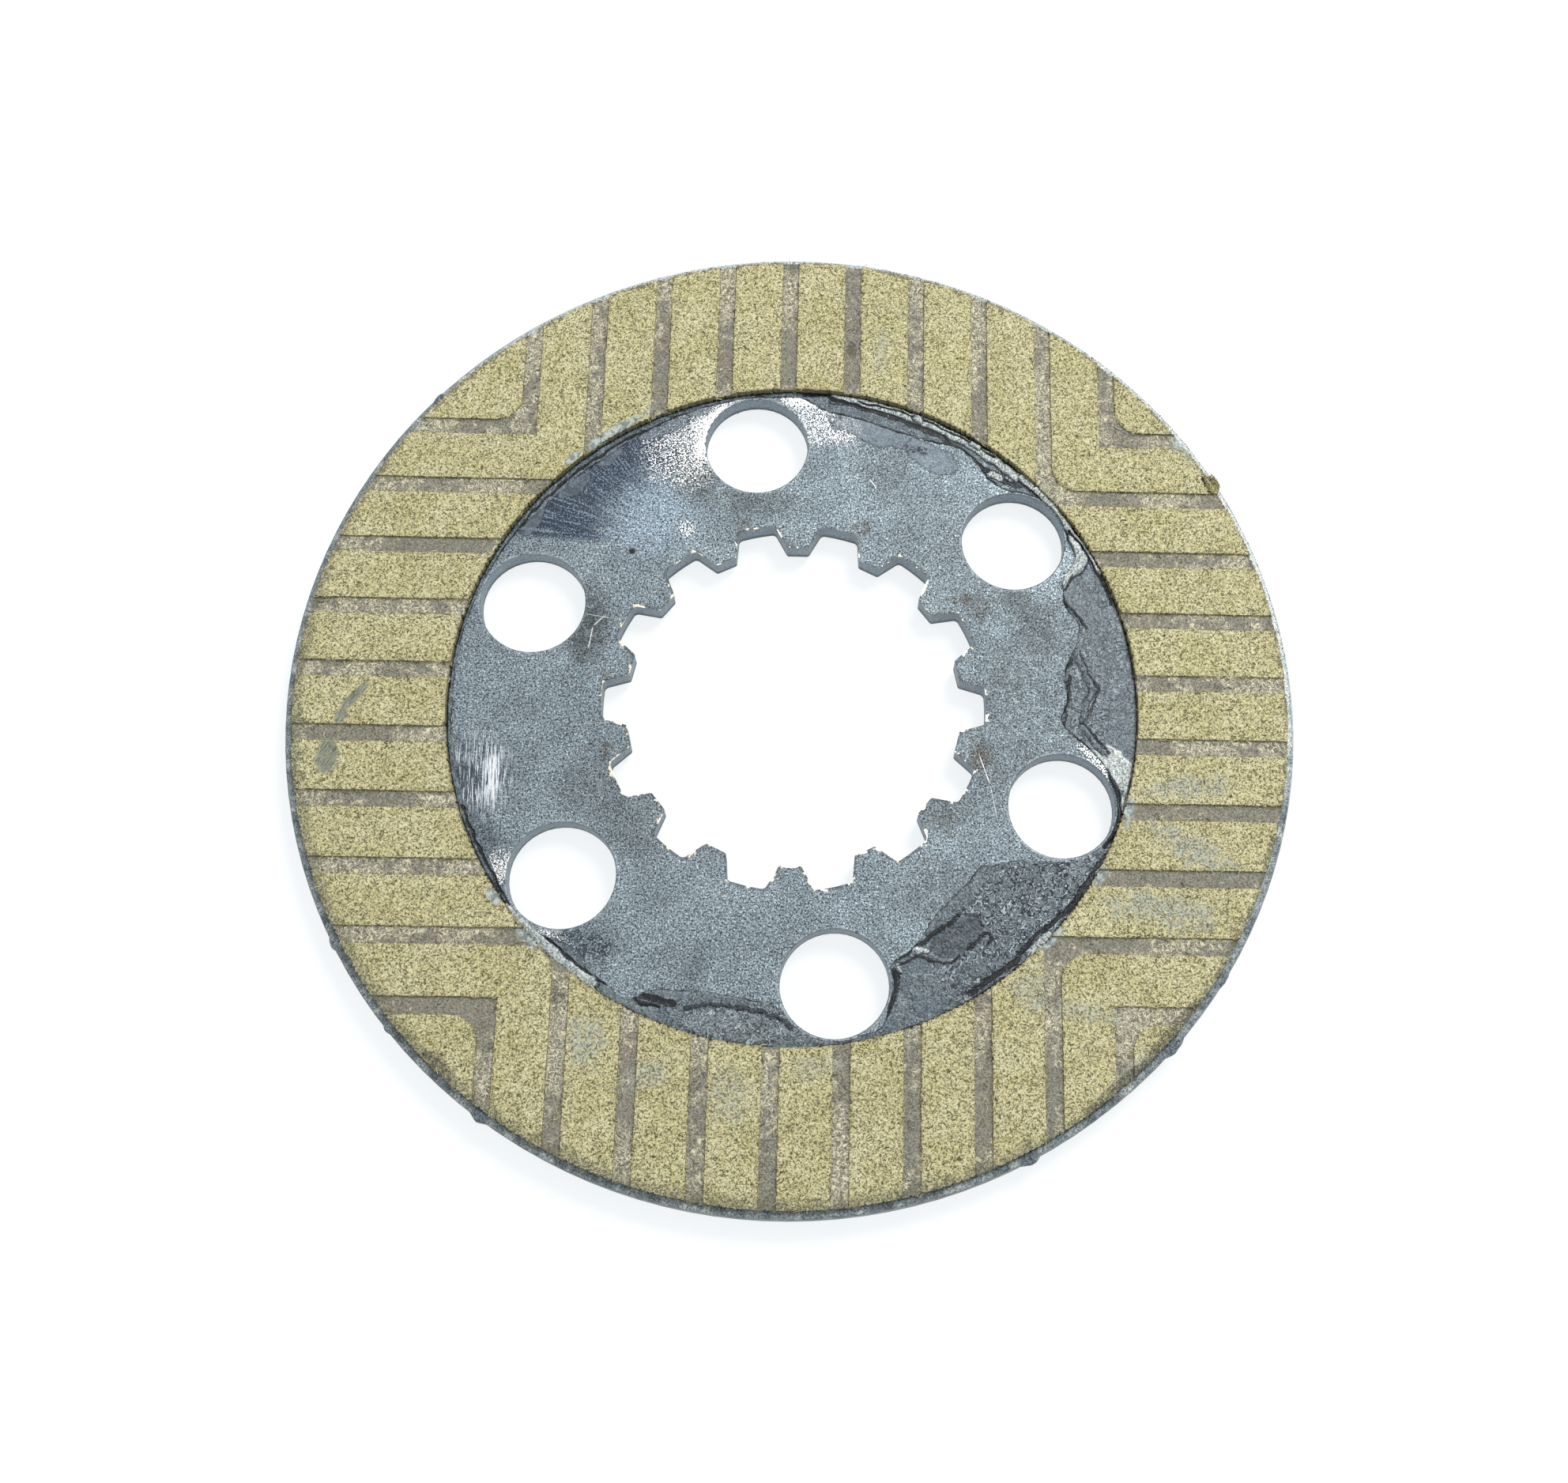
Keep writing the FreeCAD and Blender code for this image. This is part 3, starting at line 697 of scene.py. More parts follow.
def with_skins(tree, colour, flat, coarse, wobble):
    """Thin skins of resin with a dark edge, and two places with curled dark threads."""
    for centre, radii, turn in SKINS:
        away = tree.vector("LENGTH", tree.local(flat, centre, radii, turn), output=1) + wobble * 0.6
        skin = tree.blend(coarse.rise(0.35, 0.65), shade(78, 88, 97), shade(112, 122, 130))
        colour = tree.blend(away.rise(1.04, 0.96) * 0.65, colour, skin)
        colour = tree.blend(abs(away - 1).rise(0.09, 0.02) * 0.6, colour, shade(40, 46, 54))
    worm = tree.noise(flat, 1.1, 1, 0.5, 1.6, seed=12)
    curl = tree.spot(flat, wobble * 0.4, (-32.4, -41.0), (5.0, 2.6), -14, 0.3)
    curl = curl + tree.spot(flat, wobble * 0.4, (20.0, 46.2), (2.6, 0.8), -8, 0.3)
    return tree.blend(curl * abs(worm - 0.5).rise(0.09, 0.03) * 0.9, colour, shade(26, 34, 50))


# %% [markdown]
# The edges come last. The spline's edges get a painted dark shade line and bright chips, part
# worn metal and part painted highlight. A worn tooth edge chips unevenly, so noise is added to
# the distance from the outline before that is turned into a mask.

# %% Edges and walls of the plate
def with_tooth_edge_shade_and_wear(tree, colour, place, flat, out, angle):
    """Painted dark shade along the spline's edges, and bright chips that are part worn metal and part
    painted highlight.
    """
    back = tooth_edge_distance(tree, out, angle)
    chips = tree.noise(place, 1.3, 3, 0.7, seed=6)
    # Painted shade: a dark line along the spline's edges.
    dark_edge = (back + (chips - 0.5) * 1.6).rise(0.6, 0.05)
    colour = tree.blend(dark_edge * 0.55, colour, shade(58, 62, 62))
    nicks = tree.noise(flat, 2.3, 2, 0.6, seed=9, flat=True)
    # The bright chips are part worn metal and part painted highlight.
    chip_and_glint = (back + (chips - 0.5) * 2.4).rise(0.3, 0.1) * nicks.rise(0.53, 0.58) * back.rise(1.1, 0.5)
    return tree.blend(chip_and_glint * 0.95, colour, shade(238, 228, 208))


def with_hole_rim_highlights(tree, colour, out, angle, coarse):
    """A painted highlight round each oil hole's edge."""
    hole_turn = fold_angle(tree, angle, FIRST_HOLE, HOLE_COUNT)
    hole_x = out * hole_turn.math("COSINE") - HOLE_CIRCLE
    hole_y = out * hole_turn.math("SINE")
    rim = (hole_x * hole_x + hole_y * hole_y).math("SQRT") - HOLE_RADIUS
    return tree.blend(rim.rise(0.7, 0.1) * 0.3 * coarse.rise(0.4, 0.6), colour, shade(196, 206, 210))


def with_steel_walls(tree, colour, place, out, face, coarse):
    """Stamped walls, darker towards the floor, and the coated outer rim, painted paler on the side
    towards the lamp.
    """
    x, y, z = tree.parts(place)
    drawn = tree.noise(tree.local(place, (0, 0), (0.35, 0.35), 0), 1, 3, 0.6, seed=7)
    wall = tree.blend(drawn.rise(0.3, 0.7), shade(108, 121, 130), shade(150, 163, 171))
    wall = tree.blend((z + (coarse - 0.5) * 1.2).rise(-0.6, -1.3) * 0.7, wall, shade(62, 68, 72))
    coated = tree.blend(coarse.rise(0.35, 0.65), shade(88, 96, 99), shade(134, 140, 136))
    rim_zone = out.rise(PLATE_RADIUS - 1.6, PLATE_RADIUS - 1.2)
    # Painted light: the rim's coat is paler on the side towards the lamp.
    lit_side = ((x * 0.42 + y * 0.9) / PLATE_RADIUS).rise(0.1, 0.75)
    coated = tree.blend(lit_side, coated, shade(205, 212, 214))
    wall = tree.blend(rim_zone, wall, coated)
    colour = tree.blend(rim_zone * 0.8, colour, coated)
    return tree.blend(face, wall, colour)


# %% The steel's finish
def steel_finish():
    """Rolled steel that ran in oil, wiped bright here and there."""
    material, tree, place, principled = new_material("plate steel")
    flat = tree.vector("MULTIPLY", place, (1, 1, 0))
    x, y, _ = tree.parts(place)
    out = tree.vector("LENGTH", flat, output=1)
    angle = y.math("ARCTAN2", x)
    upward = abs(tree.parts(tree.node("ShaderNodeTexCoord", output=1))[2])
    face = upward.rise(0.5, 0.9)

    curled = tree.bent(flat, 0.8, 0.9)
    grain = tree.noise(place, FINE_GRAIN, 2, 0.62, 0.6)
    pit_shade = tree.strokes(curled, 0.55, 0.18, 0.66, seed=8)
    coarse = tree.noise(place, 1.5, 3, 0.6, seed=1)
    cloud = tree.noise(flat, 9, 4, 0.6, seed=2, flat=True)
    wobble = (tree.noise(flat, 3.4, 4, 0.65, seed=3, flat=True) - 0.5) * 2.0

    tint = stained_steel(tree, flat, cloud, coarse, wobble)
    colour = grained(tree, tint, grain, pit_shade)
    colour = with_fan(tree, colour, flat, grain, wobble)
    colour = with_brushing_and_sheen(tree, colour, flat, wobble)
    colour = with_glints_and_scratches(tree, colour, flat, grain, wobble)
    colour = with_skins(tree, colour, flat, coarse, wobble)
    colour = with_tooth_edge_shade_and_wear(tree, colour, place, flat, out, angle)
    colour = with_hole_rim_highlights(tree, colour, out, angle, coarse)
    colour = with_steel_walls(tree, colour, place, out, face, coarse)
    shine = tree.node("ShaderNodeRGBToBW", {}, {0: colour}).rise(0.35, 0.8)

    connect(tree, principled, {
        "Base Color": colour,
        "Metallic": 0.6 + shine * 0.25,
        "Roughness": 0.5 - shine * 0.2 + (coarse - 0.5) * 0.2,
        "Normal": bumped(tree, grain * 0.7 + coarse * 0.5, 0.07),
    })
    return material


STEEL = steel_finish()
print("material:", STEEL.name, "with", len(STEEL.node_tree.nodes), "nodes")

# %% [markdown]
# ### Dried adhesive
# The bonding resin squeezed out past the linings and dried as a glossy grey skin. Where it is
# thick it is dark, where it was chipped or whipped with air it is pale like glass. The mesh
# carries a tone for that, and the height of its wrinkles.

# %% Dried adhesive
def adhesive_finish():
    """Glossy dried resin, dark where it is thick and pale where it is chipped, with painted shade in its
    creases and painted highlight on its crests.
    """
    material, tree, place, principled = new_material("dried adhesive")
    flat = tree.vector("MULTIPLY", place, (1, 1, 0))
    tone = attribute(tree, "tone")
    fold = attribute(tree, "fold")

    grain = tree.noise(place, 0.28, 2, 0.62)
    worm = tree.noise(flat, 0.92, 1, 0.5, 1.3, seed=1, flat=True)
    cloud = tree.noise(flat, 5, 3, 0.6, seed=2, flat=True)
    cells = {"Vector": tree.bent(flat, 1.5, 0.9), "Scale": 0.8}
    cell = tree.node("ShaderNodeTexVoronoi", {"voronoi_dimensions": "2D"}, cells)
    bubble = abs(cell - 0.33).rise(0.13, 0.06) * cloud.rise(0.4, 0.5)

    colour = tree.blend(cloud.rise(0.35, 0.65), shade(94, 108, 116), shade(112, 126, 133))
    colour = tree.blend(grain.rise(0.5, 0.66) * 0.5, colour, shade(158, 170, 176))
    colour = tree.blend(grain.rise(0.46, 0.36) * 0.7, colour, shade(34, 42, 48))
    colour = tree.blend(bubble * (0.75 - fold * 0.5), colour, shade(30, 38, 44))
    # Painted shade in the creases of the wrinkles and painted highlight on their crests.
    crease_shade = abs(worm - 0.5).rise(0.07, 0.035) * fold
    colour = tree.blend(crease_shade * 0.95, colour, shade(16, 22, 29))
    crest_highlight = abs(worm - 0.6).rise(0.055, 0.02) * (0.1 + fold * 0.75)
    colour = tree.blend(crest_highlight, colour, shade(196, 209, 215))

    glass = tree.blend(grain.rise(0.4, 0.58), shade(136, 149, 148), shade(228, 234, 229))
    splits = tree.streaks(flat, 60, 1.4, 0.22, seed=3).rise(0.6, 0.66)
    glass = tree.blend(splits, glass, shade(58, 68, 70))
    pale = tone.rise(0.5, 0.75)
    colour = tree.blend(pale, colour, glass)
    colour = tree.blend(tone.rise(0.34, 0.14) * 0.96, colour, shade(14, 19, 23))

    relief = grain * 0.4 + worm.rise(0.35, 0.65) * (0.3 + fold)
    connect(tree, principled, {
        "Base Color": colour,
        "Roughness": 0.24 + grain.rise(0.4, 0.7) * 0.16,
        "Specular IOR Level": 0.32,
        "Coat Weight": pale * 0.35,
        "Coat Roughness": 0.15,
        "Normal": bumped(tree, relief, 0.1),
    })
    return material


ADHESIVE = adhesive_finish()
print("material:", ADHESIVE.name, "with", len(ADHESIVE.node_tree.nodes), "nodes")

# %% [markdown]
# ## Geometry Nodes from a script
# The grooved lining follows a rule, so a geometry tree makes it. A tree has named inputs, and
# a modifier takes them by the socket's identifier. The result is baked to a plain mesh, and
# the modifier goes with its helper object.

# %% Helpers for geometry trees
def new_geometry_tree(name, inputs):
    """Return a geometry group, its tree and its inputs by name."""
    group = bpy.data.node_groups.new(name, "GeometryNodeTree")
    for label, kind in inputs.items():
        group.interface.new_socket(label, in_out="INPUT", socket_type=kind)
    group.interface.new_socket("Geometry", in_out="OUTPUT", socket_type="NodeSocketGeometry")
    tree = Tree(group)
    entry = group.nodes.new("NodeGroupInput")
    given = {label: Value(tree, entry.outputs[label]) for label in inputs}
    return group, tree, given


def end_tree(group, tree, geometry, material):
    """Realize what is instanced, give it its material and send it out."""
    real = tree.node("GeometryNodeRealizeInstances", {}, {0: geometry})
    done = tree.node("GeometryNodeSetMaterial", {}, {"Geometry": real, "Material": material})
    exit_node = group.nodes.new("NodeGroupOutput")
    group.links.new(done.socket, exit_node.inputs["Geometry"])


def bake_tree(group, name, settings):
    """Run a geometry tree on an empty mesh and return its result as a plain mesh."""
    host = bpy.data.objects.new(name + "_host", bpy.data.meshes.new(name + "_host"))
    bpy.context.scene.collection.objects.link(host)
    modifier = host.modifiers.new(name, "NODES")
    modifier.node_group = group
    identifiers = {item.name: item.identifier for item in group.interface.items_tree}
    for label, value in settings.items():
        modifier[identifiers[label]] = value
    host.update_tag()
    depsgraph = bpy.context.evaluated_depsgraph_get()
    mesh = bpy.data.meshes.new_from_object(host.evaluated_get(depsgraph))
    host.modifiers.remove(modifier)
    bpy.data.objects.remove(host)
    mesh.name = name
    return mesh


def mend_normals(mesh):
    """Point every face outwards."""
    work = bmesh.new()
    work.from_mesh(mesh)
    bmesh.ops.recalc_face_normals(work, faces=work.faces)
    work.to_mesh(mesh)
    work.free()


def place_piece(mesh, name, slot, *replaced):
    """Add a finished mesh as a piece that rides on the disc."""
    piece = bpy.data.objects.new(name, mesh)
    bpy.context.scene.collection.objects.link(piece)
    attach(piece, "root")
    if replaced:
        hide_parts(*replaced)
    mesh.calc_loop_triangles()
    print(f"{name}: {len(mesh.loop_triangles)} triangles")
    return piece


# %% [markdown]
# ## The linings
# The grooves fall into four alike quarters about the pattern's centre. In a quarter, the
# smaller of the two coordinates says which L-shaped groove is nearest, so one expression gives
# the distance to the groove's edge, with the round land inside each L. A fine grid is laid
# over the disc, and its rows beside an edge are pulled onto it, one for the land and one for
# the groove's floor. That gives steep walls, and a little noise in the distance frays them.
# The grid is cut to a ring, and its ragged border is pulled onto the circles.

# %% The rule of the grooves
LINING_INPUTS = {
    "Grid size": "NodeSocketFloat",
    "Grid points": "NodeSocketInt",
    "Cell": "NodeSocketFloat",
    "Outer radius": "NodeSocketFloat",
    "Bore radius": "NodeSocketFloat",
    "Thickness": "NodeSocketFloat",
    "Groove pitch": "NodeSocketFloat",
    "Groove width": "NodeSocketFloat",
    "Groove depth": "NodeSocketFloat",
    "Groove bend": "NodeSocketFloat",
    "Pattern centre": "NodeSocketVector",
    "Fraying": "NodeSocketFloat",
    "Seed": "NodeSocketFloat",
    "Scale": "NodeSocketFloat",
    "Material": "NodeSocketMaterial",
}
EDGE_STAND_OFF = 0.03
EDGE_WEAR = 0.09
FACE_RELIEF = 0.07
FIBRE_ROOM = 0.06
SHARP_ANGLE = math.radians(38)
print("the lining's tree has", len(LINING_INPUTS), "inputs")


def groove_rule(tree, given, place):
    """The distance from the nearest groove's edge, and the way that it grows."""
    from_centre = tree.vector("SUBTRACT", place, given["Pattern centre"])
    x, y, _ = tree.parts(from_centre)
    side_x, side_y = x.math("SIGN"), y.math("SIGN")
    pitch, width, bend = given["Groove pitch"], given["Groove width"], given["Groove bend"]
    step = (abs(x).least(abs(y)) / pitch).math("FLOOR").least(LAST_GROOVE)
    u = abs(x) - step * pitch
    v = abs(y) - step * pitch
    near_land = (pitch - width) / 2 - u.least(v)
    far_edge = (pitch + width) / 2
    in_u = (bend + far_edge - u).most(0)
    in_v = (bend + far_edge - v).most(0)
    length = (in_u * in_u + in_v * in_v).math("SQRT").most(0.0001)
    far_land = bend - length
    is_near = near_land > far_land
    u_first = u < v
    way_x = tree.choose(is_near, in_u / length, u_first * -1) * side_x
    way_y = tree.choose(is_near, in_v / length, u_first - 1) * side_y
    return near_land.most(far_land), tree.joined(way_x, way_y, 0)


def frayed(tree, given, place, size, amount, seed):
    """Noise about zero that differs from lining to lining."""
    away = tree.joined(given["Seed"] * 91.7, given["Seed"] * 33.1, seed * 7.7)
    moved = tree.vector("ADD", place, away)
    return (tree.noise(moved, size, 3, 0.6) - 0.5) * 2 * amount


# %% The tree of the lining
def lining_tree():
    group, tree, given = new_geometry_tree("grooved lining", LINING_INPUTS)
    cell, thickness = given["Cell"], given["Thickness"]
    outer, bore = given["Outer radius"], given["Bore radius"]
    grid_values = {
        "Size X": given["Grid size"],
        "Size Y": given["Grid size"],
        "Vertices X": given["Grid points"],
        "Vertices Y": given["Grid points"],
    }
    grid = tree.node("GeometryNodeMeshGrid", {}, grid_values)
    centred = {"Geometry": grid, "Translation": given["Pattern centre"]}
    grid = tree.node("GeometryNodeTransform", {}, centred)

    place = tree.node("GeometryNodeInputPosition")
    gap, way = groove_rule(tree, given, place)
    gap = gap + frayed(tree, given, place, 1.1, given["Fraying"], 1)
    gap = gap + frayed(tree, given, place, 6.0, given["Fraying"], 2)
    is_land = gap > 0
    beside = abs(gap) < cell
    seat = (is_land * 2 - 1) * EDGE_STAND_OFF
    settled = tree.choose(beside, gap, seat)
    wear = beside * (0.03 + abs(frayed(tree, given, place, 1.6, EDGE_WEAR * 2, 3)))
    relief = frayed(tree, given, place, 1.3, FACE_RELIEF, 4) * (is_land * 0.7 + 0.3)
    height = thickness - FIBRE_ROOM - FACE_RELIEF + relief - wear * is_land
    height = height - (1 - is_land) * given["Groove depth"]
    height = (height + wear * (1 - is_land) * 0.7).least(thickness)
    shift = tree.scaled(way, (settled - gap))
    lift = tree.vector("ADD", shift, tree.joined(0, 0, height))

    named = {"Geometry": grid, "Name": "groove_gap", "Value": settled}
    grid = tree.node("GeometryNodeStoreNamedAttribute", {"data_type": "FLOAT", "domain": "POINT"}, named)
    grid = tree.node("GeometryNodeSetPosition", {}, {"Geometry": grid, "Offset": lift})

    flat = tree.vector("MULTIPLY", place, (1, 1, 0))
    out = tree.vector("LENGTH", flat, output=1)
    outside = (out > outer).most(out < bore)
    cut = {"Geometry": grid, "Selection": outside}
    ring = tree.node("GeometryNodeDeleteGeometry", {"domain": "FACE"}, cut)

    faces_beside = tree.node("GeometryNodeInputMeshEdgeNeighbors")
    border = faces_beside < 2
    goal = tree.choose(out > (outer + bore) / 2, bore, outer)
    goal = goal - abs(frayed(tree, given, place, 1.4, given["Fraying"] * 0.9, 5))
    stretched = tree.vector("MULTIPLY", place, tree.joined(goal / out, goal / out, 1))
    snap = {"Geometry": ring, "Selection": border, "Position": stretched}
    ring = tree.node("GeometryNodeSetPosition", {}, snap)

    scale = tree.joined(given["Scale"], given["Scale"], given["Scale"])
    ring = tree.node("GeometryNodeTransform", {}, {"Geometry": ring, "Scale": scale})
    end_tree(group, tree, ring, given["Material"])
    return group


# %% [markdown]
# The tree gives the lining's face only. Mesh code evens out its border, where two grid points
# may have landed on one spot, and hangs a wall and an underside on the border, so that the
# lining is a closed body. The wall is built edge by edge, because its faces then come in the
# same order in every run, and so do the fibres that are scattered over them.

# %% Close a lining
BORDER_STEP = 0.12
BORDER_PASSES = 12


def even_border(work):
    """Keep the border from turning back on itself."""
    for vertex in work.verts:
        beside = [edge.other_vert(vertex) for edge in vertex.link_edges if edge.is_boundary]
        if len(beside) != 2:
            continue
        first, second = (other.co.xy - vertex.co.xy for other in beside)
        if first.dot(second) > 0:
            middle = (beside[0].co.xy + beside[1].co.xy).normalized()
            vertex.co.xy = middle * vertex.co.xy.length


def build_wall(work):
    """Hang a wall on the border, down to a height of zero, in the same order every time."""
    border = [edge for edge in work.edges if edge.is_boundary]
    feet = {}
    for edge in border:
        for vertex in edge.verts:
            if vertex not in feet:
                feet[vertex] = work.verts.new((vertex.co.x, vertex.co.y, 0), vertex)
    for edge in border:
        corner = edge.link_loops[0]
        first, second = corner.vert, corner.link_loop_next.vert
        work.faces.new((second, first, feet[first], feet[second]), corner.face)


def close_lining(mesh):
    """Add the wall and the underside to a lining's face."""
    work = bmesh.new()
    work.from_mesh(mesh)
    border = [vertex for vertex in work.verts if vertex.is_boundary]
    bmesh.ops.remove_doubles(work, verts=border, dist=BORDER_STEP * MM)
    for _ in range(BORDER_PASSES):
        even_border(work)
    build_wall(work)
    foot = [edge for edge in work.edges if edge.is_boundary]
    bmesh.ops.triangle_fill(work, edges=foot, use_beauty=True)
    bmesh.ops.recalc_face_normals(work, faces=work.faces)
    print("open edges:", sum(edge.is_boundary for edge in work.edges))
    work.to_mesh(mesh)
    work.free()
    mesh.polygons.foreach_set("use_smooth", [True] * len(mesh.polygons))
    mesh.set_sharp_from_angle(angle=SHARP_ANGLE)


# %% [markdown]
# The paper's fibres stand up a little wherever it was torn or pressed, and most of all along
# the grooves. They are far too many to place by hand. A second tree scatters points over a
# lining, denser beside a groove, and sets a thin bent tube of few faces on each, turned at
# random from a fixed seed. What would stand above the lining's face is pressed flat.

# %% The tree of the fibres
FIBRE_INPUTS = {
    "Surface": "NodeSocketObject",
    "Fibres per mm2": "NodeSocketFloat",
    "Length": "NodeSocketFloat",
    "Thickness": "NodeSocketFloat",
    "Highest": "NodeSocketFloat",
    "Palest": "NodeSocketFloat",
    "Seed": "NodeSocketInt",
    "Material": "NodeSocketMaterial",
}


def random_value(tree, given, low, high, step):
    """A number, or a vector where low is one, that differs from fibre to fibre."""
    seed = given["Seed"] + step
    if isinstance(low, tuple):
        settings, first, output = {"data_type": "FLOAT_VECTOR"}, 0, 0
    else:
        settings, first, output = {"data_type": "FLOAT"}, 2, 1
    return tree.node("FunctionNodeRandomValue", settings, {first: low, first + 1: high, 8: seed}, output)


def fibre_tree():
    group, tree, given = new_geometry_tree("paper fibres", FIBRE_INPUTS)
    length = given["Length"]
    path_points = {
        "Resolution": 2,
        "Start": tree.joined(length * -0.5, 0, 0),
        "Middle": tree.joined(length * 0.1, length * 0.45, length * 0.1),
        "End": tree.joined(length * 0.5, 0, 0),
    }
    path = tree.node("GeometryNodeCurveQuadraticBezier", {}, path_points)
    ring_values = {"Resolution": 3, "Radius": given["Thickness"] / 2}
    ring = tree.node("GeometryNodeCurvePrimitiveCircle", {}, ring_values)
    tube = {"Curve": path, "Profile Curve": ring, "Fill Caps": True}
    fibre = tree.node("GeometryNodeCurveToMesh", {}, tube)

    surface = tree.node("GeometryNodeObjectInfo", {}, {0: given["Surface"]}, output="Geometry")
    gap = tree.node("GeometryNodeInputNamedAttribute", {"data_type": "FLOAT"}, {"Name": "groove_gap"})
    clumps = tree.noise(tree.node("GeometryNodeInputPosition"), 3, 1, 0.5, seed=5).rise(0.35, 0.65)
    beside = abs(gap).rise(0.5, 0.2)
    density = given["Fibres per mm2"] * (0.25 + clumps + beside * 1.6)
    density = density * (gap.rise(-0.5, -0.3) * 0.6 + 0.4)
    upward = tree.parts(tree.node("GeometryNodeInputNormal"))[2]
    spread = {"Mesh": surface, "Selection": upward > -0.5, "Density": density, "Seed": given["Seed"]}
    points = tree.node("GeometryNodeDistributePointsOnFaces", {"distribute_method": "RANDOM"}, spread)
    outward = Value(tree, points.socket.node.outputs["Rotation"])
    spin = random_value(tree, given, (-0.3, -0.3, 0.0), (0.3, 0.3, math.tau), 1)
    turned = {"Rotation": outward, "Rotate By": tree.node("FunctionNodeEulerToRotation", {}, {0: spin})}
    aim = tree.node("FunctionNodeRotateRotation", {"rotation_space": "LOCAL"}, turned)
    size = random_value(tree, given, 0.55, 1.3, 2)
    scale = tree.joined(size, size, size)
    placed = {"Points": points, "Instance": fibre, "Rotation": aim, "Scale": scale}
    fibres = tree.node("GeometryNodeInstanceOnPoints", {}, placed)
    tone = random_value(tree, given, 0.0, given["Palest"], 3)
    named = {"Geometry": fibres, "Name": "tone", "Value": tone}
    settings = {"data_type": "FLOAT", "domain": "INSTANCE"}
    fibres = tree.node("GeometryNodeStoreNamedAttribute", settings, named)

    real = tree.node("GeometryNodeRealizeInstances", {}, {0: fibres})
    x, y, z = tree.parts(tree.node("GeometryNodeInputPosition"))
    pressed = {"Geometry": real, "Position": tree.joined(x, y, z.least(given["Highest"]))}
    real = tree.node("GeometryNodeSetPosition", {}, pressed)
    end_tree(group, tree, real, given["Material"])
    return group


# %% [markdown]
# Each fibre has one tone, which the tree gives it, so some are pale and some are soaked.

# %% The fibres' finish
def fibre_finish():
    """Pale fibres, a few of them soaked with oil."""
    material, tree, place, principled = new_material("paper fibre")
    tone = attribute(tree, "tone")
    fuzz = tree.noise(place, 0.3, 2, 0.6)
    colour = tree.blend(tone.rise(0.0, 0.35), shade(74, 72, 58), shade(186, 178, 128))
    colour = tree.blend(tone.rise(0.4, 0.8), colour, shade(240, 234, 192))
    colour = tree.blend(fuzz.rise(0.55, 0.4) * 0.35, colour, shade(150, 142, 96))
    connect(tree, principled, {
        "Base Color": colour,
        "Roughness": 0.85 - fuzz * 0.1,
        "Specular IOR Level": 0.25,
        "Normal": bumped(tree, fuzz, 0.02),
    })
    return material


FIBRE_MARGIN = 0.005
FIBRE = fibre_finish()
FIBRE_TREE = fibre_tree()


def scatter_fibres(surface, name, density, length, thickness, palest, seed):
    """Bake fibres over a mesh in metres and return them as a mesh."""
    ground = bpy.data.objects.new(name + "_ground", surface)
    bpy.context.scene.collection.objects.link(ground)
    mesh = bake_tree(FIBRE_TREE, name, {
        "Surface": ground,
        "Fibres per mm2": density / MM ** 2,
        "Length": length * MM,
        "Thickness": thickness * MM,
        "Highest": (LINING_THICKNESS - FIBRE_MARGIN) * MM,
        "Palest": palest,
        "Seed": seed,
        "Material": FIBRE,
    })
    bpy.data.objects.remove(ground)
    return mesh


# %% Make both linings
LINING_CELL = 0.46
LINING_FRAYING = 0.1
FIBRE_LENGTH = 1.3
FIBRE_THICKNESS = 0.1
LINING_TREE = lining_tree()


def make_lining(name, seed, turn, fibre_density):
    """Bake one lining and its fibres and turn them to their side, in their CAD node's place."""
    reach = LINING_RADIUS + max(abs(part) for part in PATTERN_CENTRE) + 1
    points = 2 * math.ceil(reach / LINING_CELL) + 1
    mesh = bake_tree(LINING_TREE, name, {
        "Grid size": (points - 1) * LINING_CELL,
        "Grid points": points,
        "Cell": LINING_CELL,
        "Outer radius": LINING_RADIUS,
        "Bore radius": LINING_BORE,
        "Thickness": LINING_THICKNESS,
        "Groove pitch": GROOVE_PITCH,
        "Groove width": GROOVE_WIDTH,
        "Groove depth": GROOVE_DEPTH,
        "Groove bend": GROOVE_BEND,
        "Pattern centre": (*PATTERN_CENTRE, 0),
        "Fraying": LINING_FRAYING,
        "Seed": seed,
        "Scale": MM,
        "Material": PAPER,
    })
    close_lining(mesh)
    size = (FIBRE_LENGTH, FIBRE_THICKNESS)
    fibres = scatter_fibres(mesh, name + "_fibres", fibre_density, *size, 1.0, int(seed) * 10)
    seat = Matrix.Rotation(turn, 4, "X") @ Matrix.Translation((0, 0, LINING_FOOT * MM))
    mesh.transform(seat)
    fibres.transform(seat)
    place_piece(mesh, name + "_paper", "friction_paper", name)
    return place_piece(fibres, name + "_fibres", "friction_paper")


make_lining("upper_lining", 1.0, 0, 0.7)
make_lining("lower_lining", 2.0, math.pi, 0.35)

# %% [markdown]
# At one place on the rim the paper is torn, and a dark tuft of soaked fibres stands out. The
# same tree makes it on a small tilted patch, which isn't kept.

# %% The torn tuft
TUFT_TURN = math.radians(29.9)
TUFT_REACH = (80.4, 82.2)
TUFT_HALF = 1.5


